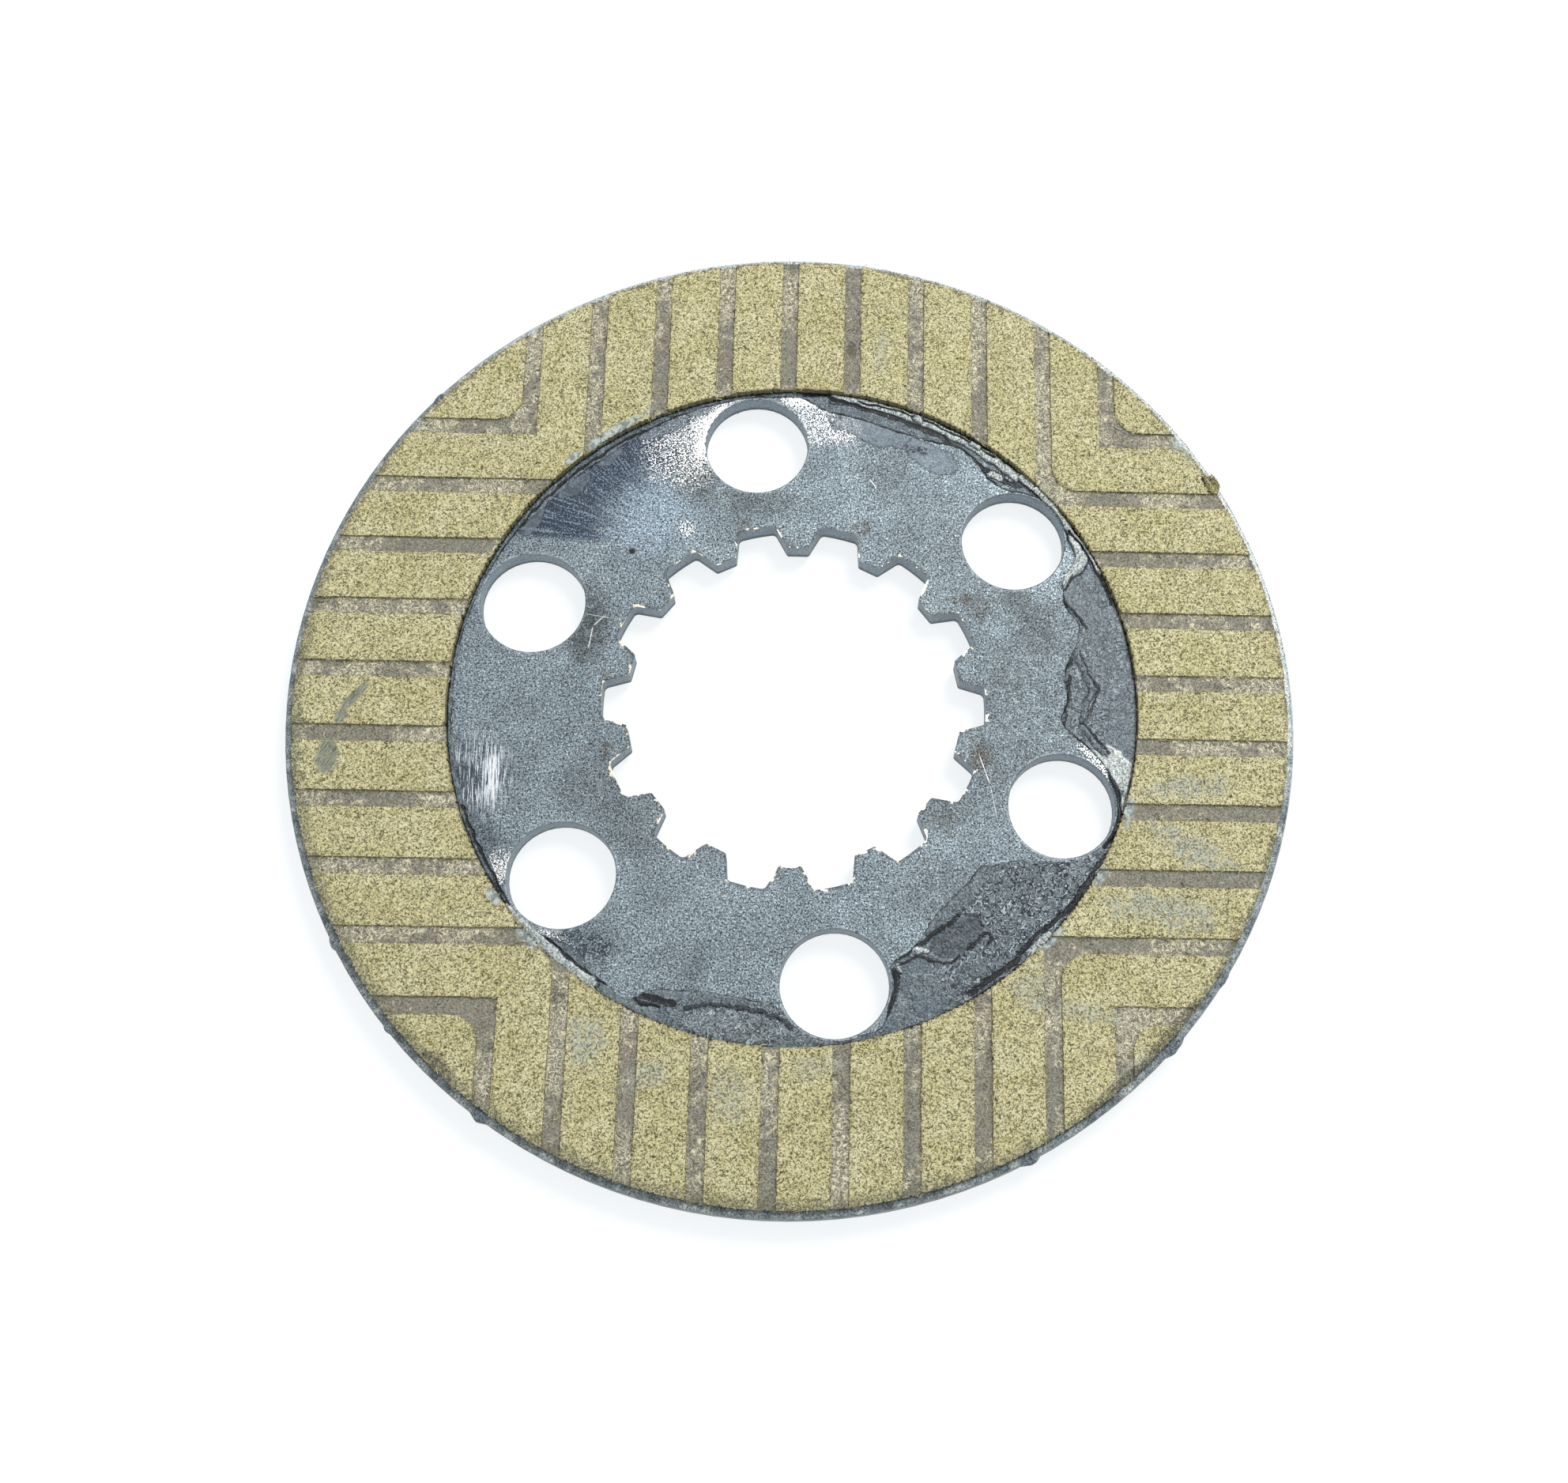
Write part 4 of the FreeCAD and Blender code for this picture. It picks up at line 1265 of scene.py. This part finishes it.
def torn_tuft():
    """A patch of dark fibres over the lining's edge."""
    corners = []
    for radius, across, height in (
        (TUFT_REACH[0], -TUFT_HALF, LINING_THICKNESS - 0.1),
        (TUFT_REACH[1], -TUFT_HALF * 0.6, LINING_THICKNESS - 0.9),
        (TUFT_REACH[1], TUFT_HALF * 0.6, LINING_THICKNESS - 0.9),
        (TUFT_REACH[0], TUFT_HALF, LINING_THICKNESS - 0.1),
    ):
        x = radius * math.cos(TUFT_TURN) - across * math.sin(TUFT_TURN)
        y = radius * math.sin(TUFT_TURN) + across * math.cos(TUFT_TURN)
        corners.append((x * MM, y * MM, height * MM))
    patch = bpy.data.meshes.new("tuft_patch")
    patch.from_pydata(corners, [], [(0, 1, 2, 3)])
    tuft = scatter_fibres(patch, "torn_tuft", 24, 1.5, 0.13, 0.45, 7)
    tuft.transform(Matrix.Translation((0, 0, LINING_FOOT * MM)))
    return place_piece(tuft, "torn_tuft", "friction_paper")


torn_tuft()

# %% [markdown]
# ## Adhesive that ran out
# On the real disc the resin crept out from under each lining, folded as it dried, and broke
# into ridges, cracks and beads along the bore. The model's film gives its outline. A sheet of
# rings from that outline to the lining gets its heights from noise and from ridges drawn one
# by one, because no rule gives such a shape. The same sheet runs on under the lining and ends
# as a bead on the plate's rim.

# %% Ridges, cracks and beads of the upper side
# Each line has a width, a height (a negative one is a crack), a tone and its points.
# Tone 1 is pale and glassy, 0.45 is plain and 0 is black; the black of the cracks is painted shade.
UPPER_LINES = [
    (1.8, 0.7, 1.0, [
        (46.2, 29.7), (47.2, 28.4), (47.9, 26.8), (47.2, 25.2), (45.4, 23.6), (44.2, 22.2),
    ]),
    (0.55, 0.35, 0.7, [(46.1, 27.2), (45.3, 25.9), (44.8, 24.4)]),
    (0.35, 0.25, 0.1, [(44.0, 21.3), (44.6, 19.9), (45.6, 17.9), (47.0, 16.2), (48.6, 14.2)]),
    (0.35, 0.2, 0.15, [(44.5, 19.5), (45.0, 17.2), (45.8, 16.2)]),
    (0.4, 0.3, 0.15, [(44.8, 10.1), (46.0, 8.0), (45.4, 7.5), (44.7, 6.8)]),
    (0.8, 0.35, 0.5, [
        (46.5, 9.7), (47.7, 7.1), (48.4, 5.4), (49.2, 3.6), (48.8, 1.5), (47.9, 0.1), (47.5, -2.0),
    ]),
    (0.3, -0.2, 0.0, [(47.3, 9.2), (48.5, 6.8), (49.4, 5.0), (50.1, 3.4), (49.8, 1.2), (48.8, -0.5)]),
    (0.7, 0.3, 0.5, [(47.4, -3.3), (49.0, -5.4), (51.0, -8.0)]),
    (0.3, -0.2, 0.0, [(48.0, -3.0), (49.7, -5.2), (51.7, -7.8)]),
    (0.3, 0.2, 0.1, [(45.5, 5.8), (45.5, 3.1), (44.8, 0.1), (44.4, -2.5), (44.9, -4.7), (46.0, -6.2)]),
    (1.3, 0.4, 0.95, [
        (5.8, 55.5), (13.0, 54.2), (20.0, 52.0), (26.6, 48.9), (32.2, 45.4), (37.2, 41.4),
    ]),
    (0.8, 0.3, 0.0, [(51.0, -10.6), (52.7, -13.6), (53.3, -16.7), (52.7, -19.9), (50.8, -23.1)]),
    (0.75, -0.3, 0.0, [
        (0.5, 56.0), (4.0, 56.2), (7.4, 54.6), (12.1, 53.3), (16.7, 51.8), (20.1, 50.4), (24.1, 48.7),
    ]),
    (0.75, -0.3, 0.0, [
        (24.1, 48.7), (26.9, 46.6), (29.9, 44.2), (32.6, 42.2), (34.8, 40.7), (37.6, 39.6),
    ]),
    (0.35, -0.25, 0.05, [
        (9.8, 54.8), (14.4, 53.8), (19.5, 52.4), (24.1, 50.2), (29.6, 47.6), (33.5, 44.8),
    ]),
    (0.8, 0.5, 1.0, [(19.9, 52.1), (20.8, 51.5)]),
    (0.8, 0.5, 1.0, [(29.3, 47.5), (30.6, 46.7)]),
    (1.0, 0.5, 0.9, [(32.6, 42.0), (34.2, 41.3)]),
    (1.1, 0.55, 0.95, [(38.1, 41.2), (41.2, 38.3), (42.9, 36.4), (44.5, 33.9), (45.7, 32.2)]),
    (0.5, -0.2, 0.0, [
        (37.8, 40.2), (40.3, 38.0), (42.2, 36.1), (43.7, 33.8), (45.2, 31.6), (45.6, 30.0),
    ]),
    (0.5, 0.45, 0.9, [(46.4, 31.8), (48.1, 29.2), (49.6, 26.7), (50.9, 24.2)]),
    (0.4, -0.2, 0.0, [
        (46.2, 31.1), (47.7, 29.0), (49.2, 26.4), (50.7, 23.6), (51.9, 21.2), (52.8, 18.6),
    ]),
    (0.3, -0.1, 0.05, [(17.9, 46.7), (19.0, 46.2), (20.4, 46.4), (21.9, 45.9)]),
    (0.45, 0.2, 0.05, [(16.2, -42.6), (18.7, -41.2), (21.7, -39.4), (24.6, -36.8), (27.2, -35.0)]),
    (0.3, 0.15, 0.2, [(27.2, -35.0), (28.9, -34.7), (30.2, -35.4), (31.0, -36.8)]),
    (0.35, 0.2, 0.1, [(17.5, -42.9), (20.4, -41.8), (23.0, -42.6), (25.9, -42.8), (27.2, -41.4)]),
    (0.9, 0.4, 0.85, [(20.3, -40.9), (21.7, -40.9)]),
    (0.5, 0.35, 0.8, [(17.4, -43.2), (17.5, -44.4)]),
    (0.7, 0.35, 0.15, [(17.0, -44.2), (17.2, -46.7), (16.5, -49.2), (15.4, -51.3)]),
    (0.75, -0.35, 0.0, [
        (50.6, -24.9), (49.0, -27.7), (47.3, -29.9), (45.1, -33.0), (42.5, -35.6), (39.6, -37.6),
    ]),
    (0.75, -0.35, 0.0, [
        (39.6, -37.6), (37.7, -40.0), (36.0, -42.2), (33.9, -43.9), (31.4, -45.6), (28.8, -47.6),
    ]),
    (1.2, 0.55, 0.8, [(41.2, -38.2), (39.9, -39.6), (38.5, -41.2)]),
    (0.35, 0.25, 0.1, [(28.4, -40.6), (29.7, -39.3), (31.4, -38.0), (32.3, -38.8), (31.6, -40.0)]),
    (1.4, 0.35, 0.68, [
        (-44.4, -34.8), (-41.6, -37.6), (-38.6, -40.6), (-35.6, -43.3), (-33.2, -45.0), (-30.4, -46.8),
    ]),
    (0.4, -0.2, 0.0, [(-44.6, -33.4), (-41.3, -36.9), (-38.0, -40.1), (-34.6, -42.6), (-31.0, -45.3)]),
    (0.5, 0.3, 0.1, [(-29.6, -46.4), (-25.7, -47.6), (-22.8, -49.7), (-20.0, -50.4)]),
    (1.0, -0.1, 0.0, [(-22.7, -48.6), (-20.1, -49.3), (-17.6, -50.0)]),
    (0.5, 0.35, 0.2, [
        (-15.8, -50.7), (-13.0, -49.9), (-10.2, -49.9), (-6.0, -50.5), (-1.8, -51.6), (1.1, -53.4),
    ]),
    (0.5, -0.25, 0.0, [(-52.9, -18.5), (-50.3, -24.4), (-48.1, -27.9), (-46.7, -31.0), (-44.4, -34.2)]),
    (0.4, -0.2, 0.0, [
        (-55.7, -4.0), (-55.5, 3.6), (-54.0, 13.0), (-51.8, 20.8), (-48.4, 27.6), (-43.9, 34.4),
    ]),
    (0.45, -0.2, 0.0, [
        (-43.9, 34.4), (-37.6, 41.0), (-30.2, 46.7), (-21.4, 51.2), (-13.0, 54.0), (-4.0, 55.6),
    ]),
]

# %% Ridges of the lower side
# The underside is out of sight, so its ridges are made up in the manner of the upper ones.
LOWER_LINES = [
    (0.9, 0.5, 0.9, [(50.2, 22.8), (48.2, 26.4), (45.6, 30.6)]),
    (0.6, -0.3, 0.0, [(54.2, 12.0), (52.4, 18.6), (49.6, 25.0), (46.0, 31.4)]),
    (0.8, 0.5, 0.8, [(-36.0, 42.2), (-32.2, 45.2), (-28.4, 47.6)]),
    (0.6, -0.3, 0.0, [(-40.2, 38.2), (-34.0, 43.6), (-27.0, 48.2), (-20.0, 51.2)]),
    (1.2, 0.4, 0.7, [(-50.0, -22.6), (-47.6, -27.4), (-44.2, -32.4)]),
    (0.5, 0.35, 0.2, [(20.4, -50.0), (26.2, -47.0), (31.6, -43.6)]),
    (0.6, -0.3, 0.0, [(14.0, -53.6), (22.6, -50.6), (30.6, -46.4), (37.0, -41.4)]),
]

# %% [markdown]
# Each side also has zones: where the film is wrinkled like a skin, and where it is smooth.
# A zone is an ellipse, and its last two numbers are a tone and an amount of folding.

# %% Zones of folded and of smooth film
UPPER_ZONES = [
    ((37.0, -36.5), (17.0, 9.5), 42, 0.46, 1.0),
    ((26.6, -38.8), (5.2, 2.6), 28, 0.24, 0.1),
    ((29.5, -46.0), (5.0, 3.5), 30, 0.3, 0.8),
    ((50.5, 8.0), (5.0, 16.0), 0, 0.46, 0.4),
    ((47.5, 17.8), (3.0, 4.4), 35, 0.42, 0.15),
    ((47.8, 1.5), (3.4, 9.0), 5, 0.38, 0.6),
    ((52.6, -10.2), (4.6, 2.6), -45, 0.92, 0.8),
    ((55.2, -15.6), (1.4, 3.4), -8, 0.8, 0.6),
    ((8.0, 53.0), (5.5, 1.7), -12, 0.34, 0.1),
    ((17.5, 50.0), (7.5, 2.4), -24, 0.42, 0.3),
    ((25.5, 46.0), (4.0, 2.2), -35, 0.32, 0.3),
    ((33.6, 42.0), (4.0, 2.0), -40, 0.4, 0.9),
    ((-7.0, -53.0), (11.5, 3.4), 4, 0.56, 1.0),
    ((-25.0, -49.2), (6.0, 2.0), -28, 0.56, 0.15),
    ((-37.0, -43.0), (9.0, 2.4), -43, 0.6, 0.9),
]
LOWER_ZONES = [
    ((48.0, 26.0), (6.0, 14.0), 25, 0.4, 0.8),
    ((-34.0, 43.0), (14.0, 5.0), 38, 0.36, 0.9),
    ((-48.0, -26.0), (5.0, 12.0), 25, 0.5, 0.5),
    ((26.0, -48.0), (14.0, 4.0), 28, 0.36, 1.0),
]
# A drip on the rim: its direction in degrees, its size and half its spread in degrees.
RIM_DRIPS = [
    (139.1, 0.5, 1.0),
    (-124.6, 0.55, 1.3),
    (-62.6, 0.5, 1.5),
    (-42.4, 0.65, 1.8),
    (-33.0, 0.3, 1.4),
    (-150.0, 0.25, 1.2),
]
print(len(UPPER_LINES) + len(LOWER_LINES), "lines and", len(UPPER_ZONES) + len(LOWER_ZONES), "zones")

# %% [markdown]
# ## The film's sheet
# A ray cast inwards from under the lining finds where the film of the model ends, once for
# each direction. That keeps the sheet on the plate and out of the oil holes.

# %% Find the film's outline
FILM_STEPS = 1260
FILM_FOOT = PLATE_TOP
FILM_RINGS = 56
RAY_START = 0.08
RAY_HEIGHT = 0.05


def film_outline(node, side):
    """The radius at which a film ends, for each direction, in millimetres."""
    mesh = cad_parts[node].data
    points = [v.co for v in mesh.vertices]
    faces = [tuple(p.vertices) for p in mesh.polygons]
    tree = BVHTree.FromPolygons(points, faces)
    start_radius = LINING_BORE - RAY_START
    level = side * (FILM_FOOT + RAY_HEIGHT) * MM
    ends = []
    for step in range(FILM_STEPS):
        turn = math.tau * step / FILM_STEPS
        way = Vector((math.cos(turn), side * math.sin(turn), 0))
        hit = tree.ray_cast(way * start_radius * MM + Vector((0, 0, level)), -way)
        ends.append(start_radius - hit[3] / MM if hit[0] else start_radius)
    return np.array(ends)


def line_distance(x, y, points):
    """How far each place is from a chain of points, and how far along the chain."""
    nearest = np.full(x.shape, 1e9)
    travel = np.zeros(x.shape)
    start = 0.0
    for (x0, y0), (x1, y1) in zip(points, points[1:]):
        along_x, along_y = x1 - x0, y1 - y0
        length = math.hypot(along_x, along_y)
        share = ((x - x0) * along_x + (y - y0) * along_y) / length ** 2
        share = np.clip(share, 0, 1)
        away = np.hypot(x - x0 - share * along_x, y - y0 - share * along_y)
        travel = np.where(away < nearest, start + share * length, travel)
        nearest = np.minimum(nearest, away)
        start += length
    return nearest, travel


def cloud_at(x, y, size, seed):
    """Smooth noise from -1 to 1 at every place."""
    flat_x, flat_y = x.ravel() / size, y.ravel() / size
    values = [noise.noise((a, b, seed * 7.3)) for a, b in zip(flat_x, flat_y)]
    return np.array(values).reshape(x.shape)


# %% [markdown]
# The film's heights add up: folds from noise, a lip at the sheet's end, and the lines above.
# Some beads are crossed by dark bands, which come from a wave along the line.

# %% Heights of the film
BAND_LENGTH = 0.85
PALE_TONE = 0.75


def film_relief(x, y, reach, lines, zones, seed):
    """Height above the plate, tone and folding of the film that shows."""
    wander_x = cloud_at(x, y, 2.2, seed) * 0.5 + cloud_at(x, y, 0.7, seed + 5) * 0.22
    wander_y = cloud_at(x, y, 2.2, seed + 1) * 0.5 + cloud_at(x, y, 0.7, seed + 6) * 0.22
    tone = 0.45 + cloud_at(x, y, 3.0, seed + 2) * 0.16
    fold = np.full(x.shape, 0.3)
    for centre, radii, turn, zone_tone, zone_fold in zones:
        turn = math.radians(turn)
        from_x, from_y = x + wander_x - centre[0], y + wander_y - centre[1]
        along = (from_x * math.cos(turn) + from_y * math.sin(turn)) / radii[0]
        across = (from_y * math.cos(turn) - from_x * math.sin(turn)) / radii[1]
        inside = np.clip((1.1 - np.hypot(along, across)) / 0.25, 0, 1)
        tone += (zone_tone - tone) * inside
        fold += (zone_fold - fold) * inside
    wave = 1 - np.abs(cloud_at(x + wander_x, y + wander_y, 0.75, seed + 3)) * 3
    swell = cloud_at(x, y, 2.0, seed + 4)
    height = 0.1 + fold * (0.06 * wave + 0.06) + 0.04 * swell
    lip = np.exp(-((reach - 0.45) / 0.35) ** 2) * (0.5 + swell)
    height += 0.12 * lip
    tone -= tone * np.exp(-(reach / 0.22) ** 2) * (0.45 + 0.8 * swell)
    # Painted shadow: the film darkens at the foot of the lining's bore.
    bore_gap = LINING_BORE - np.hypot(x, y)
    tone -= tone * np.exp(-(bore_gap / (0.32 + 0.2 * swell)) ** 2) * 0.9
    for width, rise, line_tone, points in lines:
        away, travel = line_distance(x + wander_x * 0.8, y + wander_y * 0.8, points)
        close = np.clip(1 - (away / (width * 0.62)) ** 2, 0, 1)
        band = np.clip((np.sin(travel * math.tau / BAND_LENGTH + wander_x * 9) - 0.75) / 0.2, 0, 1)
        band *= line_tone > PALE_TONE
        height += rise * np.sqrt(close) * (1 - 0.3 * band) if rise > 0 else rise * close
        tone += (line_tone * (1 - 0.5 * band) - tone) * np.clip(close * 2.6, 0, 1)
        fold *= 1 - 0.6 * close
        if rise > 0:
            outline = np.clip(1 - np.abs(away - width * 0.72) / (width * 0.2), 0, 1)
            tone -= tone * outline * 0.85
    return np.clip(height, 0.05, 0.9), np.clip(tone, 0, 1), np.clip(fold, 0, 1)


# %% [markdown]
# Outside the lining the resin coats the plate's rim, and hangs over it as a few drips. On the
# far side, where the light catches the bare edge, the bead is made thin and painted pale.

# %% The sheet from the bore to the rim
FAR_SIDE = math.radians(64)
HOLE_MARGIN = 0.02


def rim_profile(turns, seed):
    """Radius, height, tone and folding of the rows outside the lining."""
    around_x, around_y = np.cos(turns) * 60, np.sin(turns) * 60
    lumps = cloud_at(around_x, around_y, 1.6, seed) + cloud_at(around_x, around_y, 0.7, seed + 1) * 0.6
    seep = np.clip(lumps, 0, 1)
    drip = np.zeros(turns.shape)
    for place, size, spread in RIM_DRIPS:
        away = np.degrees(np.abs((turns - math.radians(place) + math.pi) % math.tau - math.pi))
        drip = np.maximum(drip, (size + 0.3 * lumps) * np.clip(1 - (away / spread) ** 2, 0, 1) ** 1.5)
    lit = np.clip((np.cos(turns - FAR_SIDE) - 0.2) / 0.5, 0, 1)
    bead = (0.12 + 0.25 * seep + 0.3 * drip) * (1 - 0.6 * lit)
    edge = PLATE_RADIUS + drip - 0.12 + 0.1 * seep
    rows = [
        (LINING_RADIUS - 0.12, FILM_FOOT + 0.09),
        (LINING_RADIUS + 0.06, FILM_FOOT + bead),
        (LINING_RADIUS + 0.35, FILM_FOOT + bead * 1.1),
        (LINING_RADIUS + 0.7, FILM_FOOT + bead * 0.8),
        (PLATE_RADIUS - 0.25 + drip * 0.6, FILM_FOOT + bead * 0.55 + 0.03),
        (edge, FILM_FOOT - 0.05 - drip * 0.2),
        (edge + drip * 0.12, FILM_FOOT - 0.7 - drip * 0.5),
        (PLATE_RADIUS - 0.2 + drip * 0.1, FILM_FOOT - 1.0 - drip * 1.0),
        (PLATE_RADIUS - 0.5 + turns * 0, FILM_FOOT - 0.8 + turns * 0),
    ]
    tone = 0.59 + 0.12 * lumps + 0.26 * lit - 0.25 * drip
    return rows, np.clip(tone, 0, 1)


def film_mesh(node, side, lines, zones, seed):
    """Build the whole sheet: inner wall, top, rim and underside."""
    ends = film_outline(node, side)
    turns = np.arange(FILM_STEPS) * math.tau / FILM_STEPS
    shares = np.linspace(0, 1, FILM_RINGS) ** 0.9
    ragged = cloud_at(np.cos(turns) * ends, np.sin(turns) * ends, 0.9, seed + 9) * 0.22
    starts = np.minimum(ends + ragged, LINING_BORE - 0.1)
    half_step = math.pi / HOLE_COUNT
    hole_turn = (turns - side * FIRST_HOLE + half_step) % (2 * half_step) - half_step
    beside_hole = np.abs(hole_turn) < math.asin(HOLE_RADIUS / HOLE_CIRCLE) + HOLE_MARGIN
    starts = np.where(beside_hole, np.maximum(starts, ends), starts)
    radius = starts + (LINING_BORE + 0.02 - starts) * shares[:, None]
    x, y = radius * np.cos(turns), radius * np.sin(turns)
    height, tone, fold = film_relief(x, y, radius - starts, lines, zones, seed)

    rows = [(starts, FILM_FOOT + turns * 0, tone[0], fold[0])]
    rows += [(radius[i], FILM_FOOT + height[i], tone[i], fold[i]) for i in range(FILM_RINGS)]
    rows.append((LINING_BORE + 0.2 + turns * 0, FILM_FOOT + 0.09 + turns * 0, tone[-1], fold[-1]))
    rim, rim_tone = rim_profile(turns, seed + 20)
    rows += [(r + turns * 0, h + turns * 0, rim_tone, 0.4 + turns * 0) for r, h in rim]
    rows.append((LINING_RADIUS - 1 + turns * 0, FILM_FOOT + turns * 0, rim_tone, fold[0]))

    all_radius, all_height, all_tone, all_fold = (np.array(part) for part in zip(*rows))
    limit = PLATE_RADIUS - 0.01
    points = np.stack([
        np.clip(all_radius * np.cos(turns), -limit, limit),
        side * np.clip(all_radius * np.sin(turns), -limit, limit),
        side * all_height,
    ], axis=-1).reshape(-1, 3) * MM
    count = len(rows)
    ring, step = np.meshgrid(np.arange(count), np.arange(FILM_STEPS), indexing="ij")
    following, onward = (ring + 1) % count, (step + 1) % FILM_STEPS
    faces = np.stack([
        ring * FILM_STEPS + step,
        following * FILM_STEPS + step,
        following * FILM_STEPS + onward,
        ring * FILM_STEPS + onward,
    ], axis=-1).reshape(-1, 4)
    mesh = bpy.data.meshes.new(node + "_film")
    mesh.from_pydata(points.tolist(), [], faces.tolist())
    for name, values in (("tone", all_tone), ("fold", all_fold)):
        layer = mesh.attributes.new(name, "FLOAT", "POINT")
        layer.data.foreach_set("value", values.astype(np.float32).ravel())
    mesh.polygons.foreach_set("use_smooth", [True] * len(mesh.polygons))
    mesh.materials.append(ADHESIVE)
    mend_normals(mesh)
    return mesh


upper_mesh = film_mesh("upper_adhesive", 1, UPPER_LINES, UPPER_ZONES, 3)
place_piece(upper_mesh, "upper_film", "adhesive", "upper_adhesive")
lower_mesh = film_mesh("lower_adhesive", -1, LOWER_LINES, LOWER_ZONES, 50)
place_piece(lower_mesh, "lower_film", "adhesive", "lower_adhesive")

# %% [markdown]
# ## The steel plate
# Its CAD shape is right, so it stays and only gets its finish.

# %% Give the plate its finish
def give_finish(node, material):
    """Put a material in every slot of a CAD node."""
    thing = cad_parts[node]
    if not thing.material_slots:
        thing.data.materials.append(material)
    for slot in thing.material_slots:
        slot.material = material


give_finish("core_plate", STEEL)
print("plate:", len(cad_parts["core_plate"].data.vertices), "points keep their places")

# %% [markdown]
# ## Camera, floor and light
# The disc lies on a pale floor and is seen from above, a little from the near side. The lens
# was found by fitting the disc's circles to the picture. The picture is cropped, so its middle
# isn't on the lens axis, and a small shift makes up for that.

# %% Camera
PICTURE_WIDTH = 1984
FOCAL_PIXELS = 2422.2
AXIS_OFFSET = (119.1, -9.25)
SENSOR = 36.0
LINING_TURN = math.radians(0.5626)
CAMERA_PLACE = Vector((4.344, -98.98, 297.26 + LINING_TOP)) * MM
CAMERA_AXES = Matrix((
    (0.99950, -0.00948, -0.03024),
    (0.00000, 0.95420, -0.29915),
    (0.03169, 0.29900, 0.95372),
))


def add_camera():
    data = bpy.data.cameras.new("camera")
    data.sensor_width = SENSOR
    data.lens = FOCAL_PIXELS / PICTURE_WIDTH * SENSOR
    data.shift_x = -AXIS_OFFSET[0] / PICTURE_WIDTH
    data.shift_y = AXIS_OFFSET[1] / PICTURE_WIDTH
    data.clip_start = 0.01
    camera = bpy.data.objects.new("camera", data)
    bpy.context.scene.collection.objects.link(camera)
    turn = Matrix.Rotation(LINING_TURN, 4, "Z")
    camera.matrix_world = turn @ Matrix.Translation(CAMERA_PLACE) @ CAMERA_AXES.to_4x4()
    bpy.context.scene.camera = camera
    return camera


camera = add_camera()
print(f"camera: lens {camera.data.lens:.1f} mm, {camera.location.length:.3f} m from the disc's centre")

# %% [markdown]
# The background is white because the floor's own colour is white to the camera. It still
# takes a part of its brightness from the lamps, so the disc's shadow shows on it.

# %% Floor and light
FLOOR_HALF = 3.0
FLOOR_WHITE = 1.17
WHITE_SHARE = 0.7
ROOM_LIGHT = 0.58
KEY_PLACE = (0.30, 0.38, 0.74)
KEY_SIZE = 0.3
KEY_POWER = 4.6


def seen_directly(tree):
    """1 for rays that show the background: from the camera, a reflection or a clear body."""
    path = tree.node("ShaderNodeLightPath").socket.node
    seen = 0.0
    for name in ("Is Camera Ray", "Is Glossy Ray", "Is Transmission Ray"):
        seen = Value(tree, path.outputs[name]) + seen
    return seen.least(1)


def mixed_shader(tree, factor, below, above):
    return tree.node("ShaderNodeMixShader", {}, {0: factor, 1: below, 2: above})


def add_floor():
    mesh = bpy.data.meshes.new("floor")
    half, level = FLOOR_HALF, FLOOR_LEVEL * MM
    corners = [(-half, -half, level), (half, -half, level), (half, half, level), (-half, half, level)]
    mesh.from_pydata(corners, [], [(0, 1, 2, 3)])
    floor = bpy.data.objects.new("floor", mesh)
    bpy.context.scene.collection.objects.link(floor)
    material = bpy.data.materials.new("floor")
    material.use_nodes = True
    tree = Tree(material.node_tree)
    material.node_tree.nodes.remove(material.node_tree.nodes["Principled BSDF"])
    lit = tree.node("ShaderNodeBsdfDiffuse", {}, {"Color": (0.88, 0.9, 0.94, 1)})
    white = tree.node("ShaderNodeEmission", {}, {"Color": (0.96, 0.99, 1.0, 1), "Strength": FLOOR_WHITE})
    surface = mixed_shader(tree, seen_directly(tree) * WHITE_SHARE, lit, white)
    output = material.node_tree.nodes["Material Output"]
    material.node_tree.links.new(surface.socket, output.inputs["Surface"])
    mesh.materials.append(material)
    return floor


def add_world():
    world = bpy.data.worlds.new("studio")
    world.use_nodes = True
    tree = Tree(world.node_tree)
    world.node_tree.nodes.remove(world.node_tree.nodes["Background"])
    light = tree.node("ShaderNodeBackground", {}, {"Color": (0.97, 0.985, 1, 1), "Strength": ROOM_LIGHT})
    white = tree.node("ShaderNodeBackground", {}, {"Color": (1, 1, 1, 1), "Strength": 1.0})
    output = world.node_tree.nodes["World Output"]
    surface = mixed_shader(tree, seen_directly(tree), light, white)
    world.node_tree.links.new(surface.socket, output.inputs["Surface"])
    bpy.context.scene.world = world


def add_lamp(name, place, size, power):
    """A square soft box that looks at the disc."""
    data = bpy.data.lights.new(name, "AREA")
    data.size = size
    data.energy = power
    lamp = bpy.data.objects.new(name, data)
    bpy.context.scene.collection.objects.link(lamp)
    look = (-Vector(place)).to_track_quat("-Z", "Y")
    lamp.matrix_world = Matrix.Translation(place) @ look.to_matrix().to_4x4()
    return lamp


add_floor()
add_world()
add_lamp("key", KEY_PLACE, KEY_SIZE, KEY_POWER)
bpy.context.scene.view_settings.view_transform = "Standard"
print("floor at", round(FLOOR_LEVEL, 2), "mm, one soft box and an even white room")
